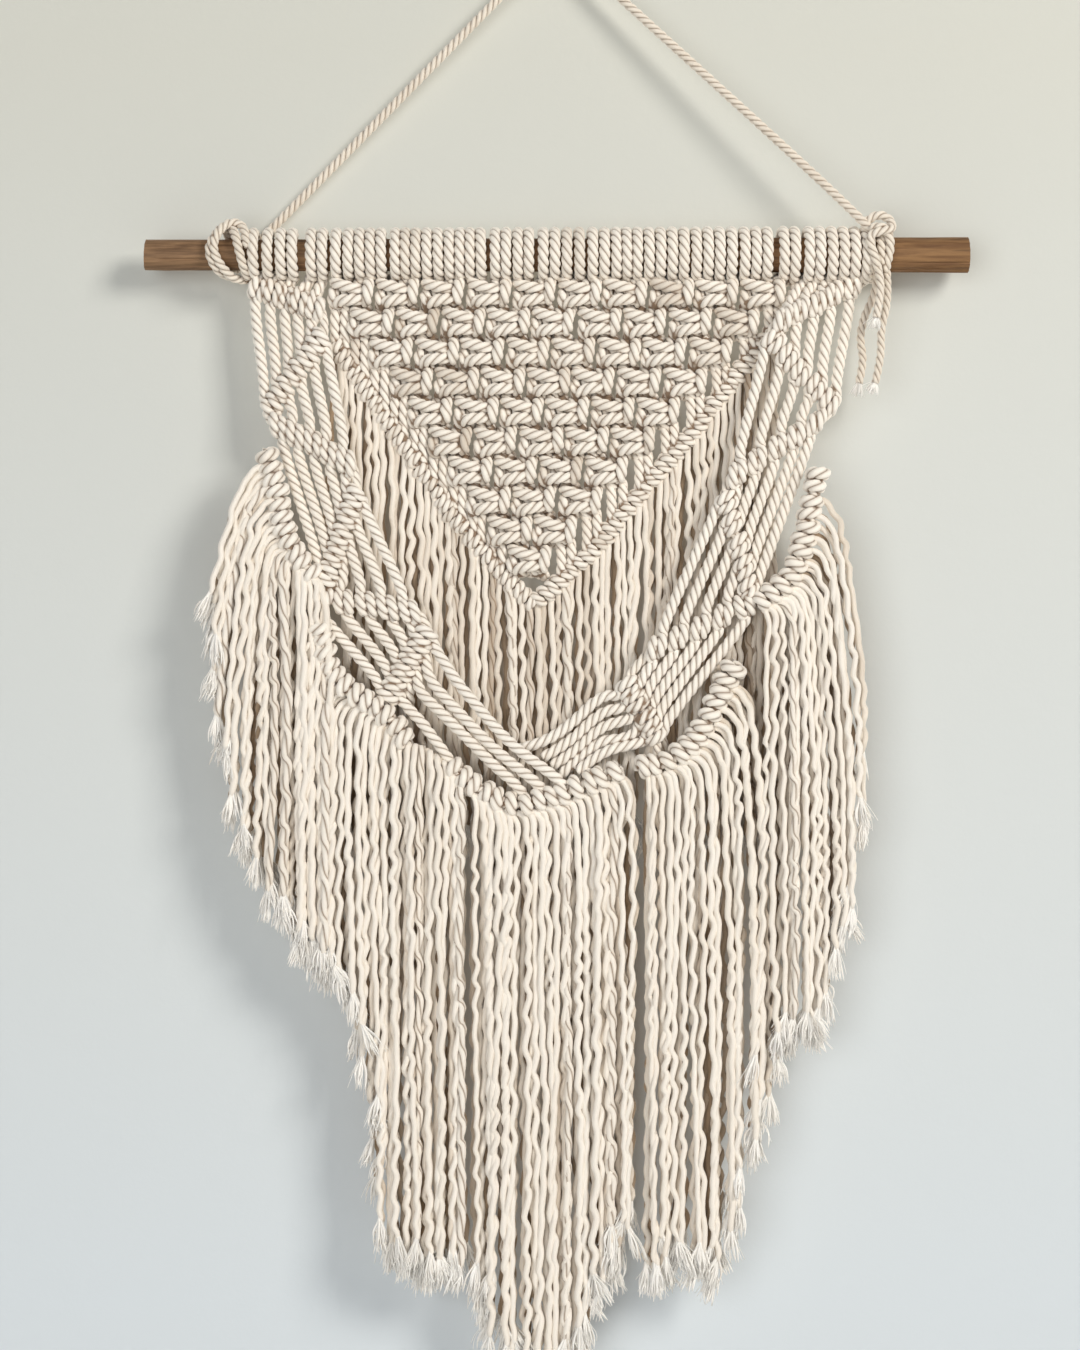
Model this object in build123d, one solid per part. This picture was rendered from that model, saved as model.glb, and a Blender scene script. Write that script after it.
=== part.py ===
from build123d import *
import math
import os

# A knotted wall hanging: a nail, a hanging rope, a wooden dowel, a knotted back panel
# and a knotted swag that hangs in front of the panel, both ending in long fringes.
# Millimetres. The origin is on the nail's axis in the plane of the wall. X runs along
# the dowel, the front faces -Y and Z is up.

# Cord stock
CORD_D = 5.7
ROPE_D = 5.2
PLY_BUNDLE_D = 8.2

# Clearances
TURN_GAP = 0.35
SIDE_GAP = 0.6
REST_GAP = 0.3
GRIP_GAP = 0.1

# Nail
NAIL_R = 2.5
NAIL_HEAD_R = 5.0
NAIL_HEAD_T = 3.0
NAIL_REACH = 24.0
WALL_PIN_R = 1.8
WALL_PIN_LENGTH = 20.0
NAIL_POINT = 5.0
COLLAR_R = 6.0
COLLAR_T = 3.0
ROPE_OUT = 12.0

# Dowel
DOWEL_DROP = 168.6
DOWEL_OUT = 20.0
DOWEL_LENGTH = 457.0
DOWEL_R_LEFT = 8.4
DOWEL_R_RIGHT = 9.8
# The dowel's radii when the places below were measured: on a thicker dowel all that hangs
# from it sits lower by the difference, and what is tied to it stands off further.
MEASURED_R_LEFT = 8.4
MEASURED_R_RIGHT = 9.8
LEFT_STRAIGHT = 35.0
RIGHT_STRAIGHT = 37.0
DOWEL_CHAMFER = 0.8

# Square-knot panel
TOP_ROW_KNOTS = 10
CORDS_PER_KNOT = 4
ROW_PITCH = 16.4
ROW_LEAN = -1.74
KNOT_HEIGHT = 13.2
KNOT_THICKNESS = 13.0
KNOT_FILLET = 3.6
PANEL_FORWARD = 1.0
EDGE_R = 5.2
EDGE_LENGTH = 6.0
EDGE_FILLET = 1.8
EDGE_STEP = 8.0
EDGE_LEFT = [(-120.0, 53.0), (-28.0, 186.0)]
EDGE_RIGHT = [(122.0, 41.0), (3.0, 181.0)]
BACK_FRINGE_END = 324.0

# Swag nets: six cords a side, five of them hitched over the sixth in six slanting rows.
# A row is its outer end and its inner end, each (x, depth below the dowel, distance forward).
SIDE_CORDS = 6
SIDE_PITCH = 7.3
SIDE_START = 131.0
HITCH_WIDTH = 6.6
HITCH_THICKNESS = 9.0
HITCH_FILLET = 2.5
CARRIER_R = 1.8
NET_CORDS = 5
LEFT_ROWS = [
    [(-165.0, 22.0, 2.0), (-134.0, 32.0, 4.0)],
    [(-158.0, 84.0, 6.0), (-131.0, 49.0, 8.0)],
    [(-153.0, 96.0, 10.0), (-116.0, 116.0, 14.0)],
    [(-128.0, 176.0, 14.0), (-111.0, 135.0, 14.0)],
    [(-129.0, 192.0, 14.0), (-81.0, 198.0, 14.0)],
    [(-91.0, 242.0, 14.0), (-73.0, 213.0, 14.0)],
]
RIGHT_ROWS = [
    [(161.0, 22.0, 2.0), (123.0, 40.0, 13.0)],
    [(150.0, 83.0, 8.0), (119.0, 52.0, 13.0)],
    [(143.0, 94.0, 10.0), (99.0, 122.0, 14.0)],
    [(105.0, 182.0, 14.0), (93.0, 138.0, 14.0)],
    [(101.0, 196.0, 14.0), (55.0, 214.0, 14.0)],
    [(54.0, 267.0, 14.0), (39.0, 238.0, 14.0)],
]
# What the cords do below the last row: (x, depth, forward), by cord number from the outside.
LEFT_TAILS = {
    5: [(-64.0, 224.0, 17.0), (-43.0, 252.0, 20.0), (-20.0, 275.5, 20.0), (1.0, 290.0, 20.0)],
    4: [(-70.0, 236.5, 17.0), (-48.0, 260.0, 20.0), (-23.0, 283.0, 20.0), (-9.0, 292.0, 20.0)],
    3: [(-75.0, 242.0, 17.0), (-54.0, 263.5, 20.0), (-33.0, 284.0, 20.0), (-20.0, 294.0, 20.0)],
    1: [(-82.0, 251.0, 14.0), (-72.0, 259.0, 15.0), (-69.0, 267.0, 15.0), (-61.0, 277.0, 15.0)],
}
RIGHT_TAILS = {
    5: [(24.0, 243.0, 13.0), (7.0, 260.5, 13.0), (-9.0, 270.5, 13.0), (-20.0, 273.0, 13.0)],
    4: [(24.0, 253.0, 13.0), (7.0, 271.0, 13.0), (-8.0, 279.0, 13.0)],
    3: [(24.0, 262.5, 13.0), (9.0, 279.0, 13.0)],
    1: [(40.0, 272.0, 14.0), (24.0, 275.0, 15.0), (13.0, 285.0, 15.0)],
}

# Scallops: wrapped chains that the front fringe hangs from, (x, depth) along each.
BEAD_R = 6.3
BEAD_LENGTH = 6.0
BEAD_FILLET = 1.8
SCALLOP_FORWARD = 15.0
SCALLOPS = {
    "scallop_outer_left": [(-160, 115), (-155, 128), (-153, 142), (-150, 155), (-145, 167),
                           (-139, 177)],
    "scallop_inner_left": [(-130, 208), (-127, 222), (-122, 234), (-114, 243), (-102, 250),
                           (-91, 257), (-86, 268)],
    "scallop_centre": [(-55, 286), (-47, 294), (-38, 300), (-28, 305), (-17, 303), (-6, 301),
                       (4, 299), (15, 294), (28, 288)],
    "scallop_inner_right": [(49, 283), (59, 282), (69, 276), (79, 266), (85, 253), (89, 242),
                            (96, 231)],
    "scallop_outer_right": [(115, 193), (123, 187), (130, 178), (135, 165), (138, 151),
                            (140, 138), (143, 125)],
}

# Front fringe tiers: where the strands start and end, (x, depth) from left to right.
FRINGE_FORWARD = [12.5, 21.5]
FRINGE_GAP = 0.5
TIERS = {
    "fringe_outer_left": (
        [(-195, 169), (-184, 136), (-170, 124), (-143, 124)],
        [(-195, 225), (-190, 245), (-178, 297), (-170, 345), (-162, 358), (-143, 385)]),
    "fringe_inner_left": (
        [(-139, 225), (-130, 216), (-56, 216)],
        [(-139, 392), (-117, 413), (-101, 485), (-95, 552), (-70, 574), (-56, 571)]),
    "fringe_centre": (
        [(-47, 250), (46, 250)],
        [(-47, 580), (-34, 605), (-15, 627), (2, 627), (13, 607), (24, 574), (46, 538)]),
    "fringe_inner_right": (
        [(55, 240), (110, 240)],
        [(55, 569), (63, 566), (88, 577), (96, 541), (110, 500)]),
    "fringe_outer_right": (
        [(119, 136), (154, 136), (163, 160), (172, 205)],
        [(119, 470), (124, 441), (146, 438), (153, 397), (163, 374), (166, 324), (172, 270)]),
}
BACK_FRINGE_X = 113.0

# Hanging rope, from the left hitch over the nail to the right hitch: (x, out from the wall, z).
# The two middle points are where it turns over the nail.
ROPE_LEFT = [(-178.0, 8.5, -1.0), (-170.5, 3.6, 6.6), (-162.5, 4.4, 14.0)]
ROPE_RIGHT = [(170.0, 30.8, 17.2), (175.5, 31.0, 9.0)]
NAIL_TURN_HALF = 3.2

# Hitches and cut rope ends: (x, depth below the dowel, distance forward).
HITCH_LEFT_X = [-188.3, -176.2]
HITCH_RIGHT_X = [174.6, 181.4]
TAILS = {
    "rope_tail_short": [(176.5, 8.0, 12.6), (177.8, 20.0, 17.6), (175.5, 34.0, 18.0)],
    "rope_tail_inner": [(174.5, 10.0, 8.0), (173.5, 22.0, 9.0), (167.5, 36.0, 9.5),
                        (167.0, 48.0, 9.0), (169.5, 60.0, 9.0), (166.5, 72.0, 9.5)],
    "rope_tail_outer": [(181.0, 10.0, 8.0), (182.0, 26.0, 9.0), (178.5, 42.0, 9.5),
                        (179.0, 58.0, 9.0), (175.5, 72.0, 9.0)],
}

# Worked out from the values above
AXIS_Z = -DOWEL_DROP
SETTLE = DOWEL_R_RIGHT - MEASURED_R_RIGHT
SETTLE_LEFT = DOWEL_R_LEFT - MEASURED_R_LEFT
CORD_R = CORD_D / 2
ROPE_R = ROPE_D / 2
WRAP_PITCH = CORD_D + SIDE_GAP
KNOT_PITCH = CORDS_PER_KNOT * WRAP_PITCH
KNOT_WIDTH = KNOT_PITCH - 0.75 * CORD_D
DOWEL_LEFT_X = -DOWEL_LENGTH / 2
DOWEL_RIGHT_X = DOWEL_LENGTH / 2
LEFT_TAPER_X = DOWEL_LEFT_X + DOWEL_CHAMFER + LEFT_STRAIGHT
RIGHT_TAPER_X = DOWEL_RIGHT_X - DOWEL_CHAMFER - RIGHT_STRAIGHT
MIDDLE_WRAPS = TOP_ROW_KNOTS * CORDS_PER_KNOT
BUNDLE_R = PLY_BUNDLE_D / 2
BUNDLE_PITCH = PLY_BUNDLE_D + FRINGE_GAP
HITCH_R = (HITCH_WIDTH / 2 - HITCH_FILLET) * math.sqrt(2) + HITCH_FILLET


def at(x, depth, forward):
    """A point given by its depth below the dowel's axis and its distance in front of it."""
    return Vector(x, -DOWEL_OUT - forward, AXIS_Z - depth)


def hung(x, depth, forward):
    """A point of what hangs from the dowel, which settles lower on a thicker dowel."""
    return at(x, depth + SETTLE, forward)


def rod(start, end, radius):
    """A round bar from one point to another."""
    line = end - start
    bar = Cylinder(radius, line.length, align=(Align.CENTER, Align.CENTER, Align.MIN))
    return Plane(origin=start, z_dir=line.normalized()) * bar


def between(start, end, share):
    """The point at a share of the way from start to end."""
    return start + (end - start) * share


def tube(points, radius, label):
    """A round cord along straight runs joined by the largest tangent arcs that fit."""
    runs = [points[i + 1] - points[i] for i in range(len(points) - 1)]
    radii = []
    for before, after in zip(runs, runs[1:]):
        half_turn = math.radians(before.get_angle(after)) / 2
        radii.append(0.45 * min(before.length, after.length) / math.tan(half_turn))
    path = FilletPolyline(*points, radius=radii)
    profile = Plane(origin=path @ 0, z_dir=path % 0) * Circle(radius)
    solid = sweep(profile, path=path)
    ideal = math.pi * radius ** 2 * path.length
    print(label, "length", round(path.length, 1), "radii", [round(r, 1) for r in radii],
          "volume over section times length", round(solid.volume / ideal, 4))
    return solid


def dowel_radius(x):
    """The dowel's radius at x: straight ends with a taper between them."""
    share = (x - LEFT_TAPER_X) / (RIGHT_TAPER_X - LEFT_TAPER_X)
    return DOWEL_R_LEFT + (DOWEL_R_RIGHT - DOWEL_R_LEFT) * min(1, max(0, share))


def wrap_radius(x, gap, cord_r):
    """The radius at which a cord of cord_r runs round the dowel with a gap under it."""
    return dowel_radius(x + cord_r) + gap + cord_r


def ring(x, gap, cord_r):
    """One turn of cord round the dowel."""
    turn = Rot(0, 90, 0) * Torus(wrap_radius(x, gap, cord_r), cord_r)
    return Pos(*at(x, 0, 0)) * turn


def save(name, shapes):
    """Write one node as a group of separate solids."""
    solids = [solid for shape in shapes for solid in shape.solids()]
    export_step(Compound(solids), f"parts/{name}.step")
    print(name, len(solids), "solids")


def along(points, x):
    """The depth of a line of (x, depth) points at x."""
    for (x0, d0), (x1, d1) in zip(points, points[1:]):
        if x <= x1:
            return d0 + (d1 - d0) * max(0, x - x0) / (x1 - x0)
    return points[-1][1]


def nail():
    """The nail: a pin in the wall, a collar on it, a neck for the rope and a head."""
    def piece(radius, y_from, y_to):
        return rod(Vector(0, y_from, 0), Vector(0, y_to, 0), radius)
    neck = piece(NAIL_R, 0, -NAIL_REACH)
    collar = piece(COLLAR_R, 0, -COLLAR_T)
    head = piece(NAIL_HEAD_R, -NAIL_REACH, -NAIL_REACH - NAIL_HEAD_T)
    pin = piece(WALL_PIN_R, 0, WALL_PIN_LENGTH)
    tip = Cone(WALL_PIN_R, 0.2, NAIL_POINT, align=(Align.CENTER, Align.CENTER, Align.MIN))
    tip = Pos(0, WALL_PIN_LENGTH, 0) * Rot(-90, 0, 0) * tip
    body = neck + collar + head + pin + tip
    rim = body.edges().filter_by(GeomType.CIRCLE).sort_by(Axis.Y)[0]
    return fillet(rim, NAIL_HEAD_T / 3)


def dowel():
    """The wooden dowel, a little thicker at its right end."""
    stations = [
        (DOWEL_LEFT_X, DOWEL_R_LEFT - DOWEL_CHAMFER),
        (DOWEL_LEFT_X + DOWEL_CHAMFER, DOWEL_R_LEFT),
        (LEFT_TAPER_X, DOWEL_R_LEFT),
        (RIGHT_TAPER_X, DOWEL_R_RIGHT),
        (DOWEL_RIGHT_X - DOWEL_CHAMFER, DOWEL_R_RIGHT),
        (DOWEL_RIGHT_X, DOWEL_R_RIGHT - DOWEL_CHAMFER),
    ]
    outline = [(DOWEL_LEFT_X, 0)] + stations + [(DOWEL_RIGHT_X, 0)]
    half = make_face(Polyline(*outline, close=True))
    return Pos(0, -DOWEL_OUT, AXIS_Z) * revolve(half, Axis.X)


def hanging_rope():
    """The rope from hitch to hitch, turning over the nail's neck."""
    over = NAIL_R + REST_GAP + ROPE_R
    left = [Vector(x, SETTLE_LEFT - out, AXIS_Z + z) for x, out, z in ROPE_LEFT]
    right = [Vector(x, -out - SETTLE, AXIS_Z + z + SETTLE) for x, out, z in ROPE_RIGHT]
    top = [Vector(-NAIL_TURN_HALF, -ROPE_OUT, over), Vector(NAIL_TURN_HALF, -ROPE_OUT, over)]
    return tube(left + top + right, ROPE_R, "hanging_rope")


def rope_hitch(centres, lump_forward):
    """Two turns of the rope round the dowel with the crossing lump on top."""
    turns = [ring(x, GRIP_GAP, ROPE_R) for x in centres]
    height = wrap_radius(max(centres), GRIP_GAP, ROPE_R)
    start = at(centres[0], -height, 0)
    end = at(centres[1], -height, 0)
    bridge = rod(start, end, ROPE_R)
    lump = Pos(*at(sum(centres) / 2, -height - ROPE_R, lump_forward)) * Sphere(1.3 * ROPE_R)
    return turns[0] + turns[1] + bridge + lump


def larks_head(x_one, x_two, bottoms):
    """One cord folded over the dowel: two turns, the bar behind them and two legs."""
    head = ring(x_one, TURN_GAP, CORD_R) + ring(x_two, TURN_GAP, CORD_R)
    reach = (wrap_radius(max(x_one, x_two), TURN_GAP, CORD_R) + CORD_R / 2) / math.sqrt(2)
    head += rod(at(x_one, reach, -reach), at(x_two, reach, -reach), CORD_R)
    for x, bottom in zip((x_one, x_two), bottoms):
        head += rod(at(x, wrap_radius(x, TURN_GAP, CORD_R), 0), at(x, bottom, 0), CORD_R)
    return head


def top_row_depth():
    """The depth of the first row's upper faces, just under the turns on the dowel."""
    return wrap_radius(RIGHT_TAPER_X, TURN_GAP, CORD_R) + CORD_R + REST_GAP


def middle_heads():
    """The heads whose cords make the square-knot panel."""
    start = -(MIDDLE_WRAPS - 1) / 2 * WRAP_PITCH
    xs = [start + i * WRAP_PITCH for i in range(MIDDLE_WRAPS)]
    depth = top_row_depth()
    return [larks_head(xs[i], xs[i + 1], (depth, depth)) for i in range(0, MIDDLE_WRAPS, 2)]


def side_heads(side, rows):
    """The heads whose cords make one net; their legs stop above its first row."""
    ends = sorted((x, depth + SETTLE) for x, depth, forward in rows[0])
    slope = abs(ends[1][1] - ends[0][1]) / (ends[1][0] - ends[0][0])
    clear = HITCH_R + REST_GAP + CORD_R * slope
    heads = []
    for i in range(0, SIDE_CORDS, 2):
        pair = [side * (SIDE_START + k * SIDE_PITCH) for k in (i, i + 1)]
        bottoms = [along(ends, x) - clear for x in pair]
        heads.append(larks_head(pair[0], pair[1], bottoms))
    return heads


def knot_row_places(row):
    """The (x, depth) of each knot in a row, counted from 0 at the top."""
    count = TOP_ROW_KNOTS - row
    middle = row * ROW_LEAN
    depth = top_row_depth() + KNOT_HEIGHT / 2 + row * ROW_PITCH
    return [(middle + (i - (count - 1) / 2) * KNOT_PITCH, depth) for i in range(count)]


def square_knot(x, depth, last):
    """One square knot and the four cords that run down to the knots below."""
    block = Box(KNOT_WIDTH, KNOT_THICKNESS, KNOT_HEIGHT)
    knot = Pos(*at(x, depth, PANEL_FORWARD)) * fillet(block.edges(), KNOT_FILLET)
    if last:
        return knot
    for side in (-1, 1):
        leg_x = x + side * KNOT_PITCH / 4
        top = at(leg_x, depth + KNOT_HEIGHT / 2 - 1, PANEL_FORWARD)
        foot = at(leg_x, depth + ROW_PITCH - KNOT_HEIGHT / 2, PANEL_FORWARD)
        knot += rod(top, foot, CORD_R)
    return knot


def wrapped_chain(places, radius, length, rounding):
    """Thick wraps at the given places round a carrying cord."""
    chain = None
    for start, end in zip(places, places[1:]):
        core = rod(start, end, CORD_R) + Pos(*end) * Sphere(CORD_R)
        chain = core if chain is None else chain + core
    wrap = Cylinder(radius, length)
    wrap = fillet(wrap.edges().filter_by(GeomType.CIRCLE), rounding)
    for i, place in enumerate(places):
        before = places[max(0, i - 1)]
        after = places[min(len(places) - 1, i + 1)]
        chain += Plane(origin=place, z_dir=(after - before).normalized()) * wrap
    return chain


def edge_beads(edge):
    """The places of the hitches along one slanting edge of the panel."""
    start, end = [Vector(x, depth + SETTLE) for x, depth in edge]
    count = int((end - start).length / EDGE_STEP) + 1
    return [between(start, end, i / (count - 1)) for i in range(count)]


def edge_hitches(edge, side):
    """One slanting edge: a chain of hitches tied to the end knot of each row."""
    beads = edge_beads(edge)
    places = [at(place.X, place.Y, PANEL_FORWARD) for place in beads]
    chain = wrapped_chain(places, EDGE_R, EDGE_LENGTH, EDGE_FILLET)
    for row in range(1, TOP_ROW_KNOTS):
        knots = knot_row_places(row)
        x, depth = knots[-1] if side > 0 else knots[0]
        face = x + side * KNOT_WIDTH / 2
        share = (depth - beads[0].Y) / (beads[-1].Y - beads[0].Y)
        edge_x = beads[0].X + share * (beads[-1].X - beads[0].X)
        chain += rod(at(face, depth, PANEL_FORWARD), at(edge_x, depth, PANEL_FORWARD), CORD_R)
    return chain


def hitch_places(row):
    """The five hitches of one net row, from the outside in."""
    outer, inner = hung(*row[0]), hung(*row[1])
    return [between(outer, inner, k / (NET_CORDS - 1)) for k in range(NET_CORDS)]


def net_row(row):
    """One slanting row: the squeezed carrying cord with five hitches round it."""
    places = hitch_places(row)
    block = Box(HITCH_WIDTH, HITCH_WIDTH, HITCH_THICKNESS)
    block = fillet(block.edges(), HITCH_FILLET)
    chain = rod(places[0], places[-1], CARRIER_R)
    for place in places:
        chain += Plane(origin=place, x_dir=places[-1] - places[0], z_dir=(0, -1, 0)) * block
    return chain


def cord_gap(row, number, way):
    """How far from a hitch a cord leaving it along a direction clears the row's carrying cord."""
    places = hitch_places(row)
    inward = (places[-1] - places[0]).normalized()
    lean = inward.dot(way)
    if number == 1:
        lean = max(0, lean)
    elif number == NET_CORDS:
        lean = max(0, -lean)
    lean = abs(lean)
    beside = (CARRIER_R + CORD_R * lean) / math.sqrt(1 - lean ** 2)
    facing = HITCH_R + abs(way.Y) * HITCH_THICKNESS / 2
    return max(facing, beside) + REST_GAP


def net_cord(rows, tails, number, label):
    """One cord of a net: its straight stretches between rows and its tail below them."""
    stretches = []
    for upper, lower in zip(rows, rows[1:]):
        start = hitch_places(upper)[number - 1]
        end = hitch_places(lower)[number - 1]
        way = (end - start).normalized()
        leave = start + way * cord_gap(upper, number, way)
        arrive = end - way * cord_gap(lower, number, way * -1)
        stretches.append(rod(leave, arrive, CORD_R))
    if number in tails:
        start = hitch_places(rows[-1])[number - 1]
        route = [hung(*place) for place in tails[number]]
        way = (route[0] - start).normalized()
        leave = start + way * cord_gap(rows[-1], number, way)
        stretches.append(tube([leave] + route, CORD_R, label))
    return stretches


def scallop(points):
    """One scallop: a curved chain of thick wraps."""
    places = [hung(x, depth, SCALLOP_FORWARD) for x, depth in points]
    return wrapped_chain(places, BEAD_R, BEAD_LENGTH, BEAD_FILLET)


def front_obstacles():
    """Circles (x, depth, radius) in front of the panel that fringe strands start below."""
    circles = [(x, depth + SETTLE, BEAD_R) for points in SCALLOPS.values()
               for x, depth in points]
    for rows, tails in ((LEFT_ROWS, LEFT_TAILS), (RIGHT_ROWS, RIGHT_TAILS)):
        for row in rows:
            for place in hitch_places(row):
                circles.append((place.X, AXIS_Z - place.Z, HITCH_R))
        route = [hitch_places(rows[-1])[0]] + [hung(*place) for place in tails[1]]
        for start, end in zip(route, route[1:]):
            for share in (0, 1 / 3, 2 / 3, 1):
                place = between(start, end, share)
                circles.append((place.X, AXIS_Z - place.Z, CORD_R + REST_GAP))
    return circles


def strand_top(x, depth, circles):
    """The depth at which a strand at x can start, below every circle it would touch."""
    for cx, cdepth, radius in circles:
        if abs(cx - x) < radius + BUNDLE_R + REST_GAP:
            depth = max(depth, cdepth + radius + REST_GAP)
    return depth


def strands(xs, top_line, end_line, layers, circles):
    """Unravelled cord ends, each a straight round bundle of plies."""
    bundles = []
    for forward in layers:
        for x in xs:
            top = strand_top(x, along(top_line, x) + SETTLE, circles)
            end = along(end_line, x) + SETTLE
            bundle = rod(at(x, top, forward), at(x, end, forward), BUNDLE_R)
            bundles.append(fillet(bundle.edges().filter_by(GeomType.CIRCLE), BUNDLE_R / 3))
    return bundles


def spread(x_from, x_to):
    """Evenly spaced strand places that just fit a width."""
    count = int((x_to - x_from - PLY_BUNDLE_D) / BUNDLE_PITCH) + 1
    middle = (x_from + x_to) / 2
    return [middle + (i - (count - 1) / 2) * BUNDLE_PITCH for i in range(count)]


def back_fringe(side):
    """The strands that hang from one half of the panel's slanting edges."""
    circles = [(place.X, place.Y, EDGE_R) for edge in (EDGE_LEFT, EDGE_RIGHT)
               for place in edge_beads(edge)]
    for row in range(TOP_ROW_KNOTS):
        for x, depth in knot_row_places(row):
            circles.append((x, depth, KNOT_WIDTH / 2))
    xs = [x for x in spread(-BACK_FRINGE_X, BACK_FRINGE_X) if side * x > 0]
    line = [(-BACK_FRINGE_X, BACK_FRINGE_END), (BACK_FRINGE_X, BACK_FRINGE_END)]
    start = [(-BACK_FRINGE_X, 0), (BACK_FRINGE_X, 0)]
    return strands(xs, start, line, [PANEL_FORWARD], circles)


def build_hanger():
    """The nail, the dowel and the rope that carries it."""
    save("wall_nail", [nail()])
    save("dowel", [dowel()])
    save("hanging_rope", [hanging_rope()])
    save("hitch_left", [rope_hitch(HITCH_LEFT_X, 1.0)])
    save("hitch_right", [rope_hitch(HITCH_RIGHT_X, 2.0)])
    for name, places in TAILS.items():
        save(name, [tube([hung(x, depth, forward + SETTLE) for x, depth, forward in places],
                         ROPE_R, name)])


def build_panel():
    """The square-knot panel with its edges and its fringe."""
    save("larks_heads_panel", middle_heads())
    for row in range(TOP_ROW_KNOTS):
        last = row == TOP_ROW_KNOTS - 1
        knots = [square_knot(x, depth, last) for x, depth in knot_row_places(row)]
        save(f"square_knots_row_{row + 1:02d}", knots)
    save("edge_hitches_left", [edge_hitches(EDGE_LEFT, -1)])
    save("edge_hitches_right", [edge_hitches(EDGE_RIGHT, 1)])
    save("back_fringe_left", back_fringe(-1))
    save("back_fringe_right", back_fringe(1))


def build_swag():
    """The two nets, the scallops and the front fringe."""
    for side, name, rows, tails in ((-1, "left", LEFT_ROWS, LEFT_TAILS),
                                    (1, "right", RIGHT_ROWS, RIGHT_TAILS)):
        save(f"larks_heads_{name}", side_heads(side, rows))
        for i, row in enumerate(rows):
            save(f"net_{name}_row_{i + 1}", [net_row(row)])
        for number in range(1, NET_CORDS + 1):
            label = f"net_{name}_cord_{number}"
            save(label, net_cord(rows, tails, number, label))
    for name, points in SCALLOPS.items():
        save(name, [scallop(points)])
    circles = front_obstacles()
    for name, (top_line, end_line) in TIERS.items():
        xs = spread(top_line[0][0] - BUNDLE_R, top_line[-1][0] + BUNDLE_R)
        save(name, strands(xs, top_line, end_line, FRINGE_FORWARD, circles))


os.makedirs("parts", exist_ok=True)
build_hanger()
build_panel()
build_swag()
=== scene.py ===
# %% [markdown]
# # A knotted wall hanging
# The real object is soft cotton cord on a rough wooden dowel, hung from a nail by a twisted
# rope. The CAD model already fixes where each part is, so it is loaded first as a frame, and
# each piece made here is laid over its own CAD part and rides on the same moving body.

# %% Load the frame
import bpy
import math
import numpy as np
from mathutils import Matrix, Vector, noise
from mathutils.kdtree import KDTree


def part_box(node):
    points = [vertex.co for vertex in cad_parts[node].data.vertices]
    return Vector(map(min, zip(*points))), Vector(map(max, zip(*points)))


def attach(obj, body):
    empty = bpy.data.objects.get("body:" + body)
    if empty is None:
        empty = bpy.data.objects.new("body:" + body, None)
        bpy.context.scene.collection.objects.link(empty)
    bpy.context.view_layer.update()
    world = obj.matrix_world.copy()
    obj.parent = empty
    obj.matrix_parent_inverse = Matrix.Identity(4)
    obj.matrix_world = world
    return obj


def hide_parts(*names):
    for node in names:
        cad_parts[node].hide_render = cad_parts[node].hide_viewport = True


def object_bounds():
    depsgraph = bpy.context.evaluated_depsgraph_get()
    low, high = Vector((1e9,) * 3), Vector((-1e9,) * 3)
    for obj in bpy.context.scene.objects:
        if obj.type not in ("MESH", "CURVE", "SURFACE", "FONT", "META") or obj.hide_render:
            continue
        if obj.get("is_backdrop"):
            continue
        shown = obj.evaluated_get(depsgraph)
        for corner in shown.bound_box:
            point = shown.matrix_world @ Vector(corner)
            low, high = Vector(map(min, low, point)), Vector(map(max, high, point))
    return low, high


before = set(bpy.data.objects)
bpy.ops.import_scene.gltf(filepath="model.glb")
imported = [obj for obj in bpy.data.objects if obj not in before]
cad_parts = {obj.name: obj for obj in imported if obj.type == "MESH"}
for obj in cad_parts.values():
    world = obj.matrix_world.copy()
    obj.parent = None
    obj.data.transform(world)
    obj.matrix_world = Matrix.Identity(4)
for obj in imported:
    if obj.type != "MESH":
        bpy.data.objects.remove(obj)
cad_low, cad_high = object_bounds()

MM = 0.001
bpy.ops.object.select_all(action="DESELECT")
bpy.context.view_layer.objects.active = None

# %% [markdown]
# Every place below is given the way a maker would measure it: along the dowel, down from the
# dowel's axis, and forward of it. The dowel's own box gives that axis.

# %% The dowel's axis and a way to give places
dowel_low, dowel_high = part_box("dowel")
AXIS_Y = (dowel_low[1] + dowel_high[1]) / 2
AXIS_Z = (dowel_low[2] + dowel_high[2]) / 2
DOWEL_ENDS = (dowel_low[0] / MM, dowel_high[0] / MM)
DOWEL_R_LEFT = 8.4
DOWEL_R_RIGHT = 9.8


def at(x, depth, forward):
    """A point in metres from millimetres along, below and in front of the dowel's axis."""
    return (x * MM, AXIS_Y - forward * MM, AXIS_Z - depth * MM)


def dowel_radius(x):
    """The dowel's radius in millimetres; the stick is a little thicker on the right."""
    share = (x - DOWEL_ENDS[0]) / (DOWEL_ENDS[1] - DOWEL_ENDS[0])
    return DOWEL_R_LEFT + (DOWEL_R_RIGHT - DOWEL_R_LEFT) * min(1, max(0, share))


print("dowel axis", round(AXIS_Y, 4), round(AXIS_Z, 4), "ends", DOWEL_ENDS)

# %% [markdown]
# The camera comes first, since the free cords are judged by what it sees. It stands square to
# the wall, level with the middle of the knotting, far enough away for little perspective.

# %% The camera
CAMERA_DISTANCE = 1.5
CAMERA_SIDE = -9.3
CAMERA_DROP = 233.0
FRAME_HEIGHT = 0.749
SENSOR = 36.0

camera_data = bpy.data.cameras.new("camera")
camera_data.sensor_width = SENSOR
camera_data.lens = SENSOR * CAMERA_DISTANCE / FRAME_HEIGHT
camera = bpy.data.objects.new("camera", camera_data)
bpy.context.scene.collection.objects.link(camera)
camera.location = at(CAMERA_SIDE, CAMERA_DROP, CAMERA_DISTANCE / MM)
camera.rotation_euler = (math.pi / 2, 0, 0)
bpy.context.scene.camera = camera
print("lens", round(camera_data.lens, 1))

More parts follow.
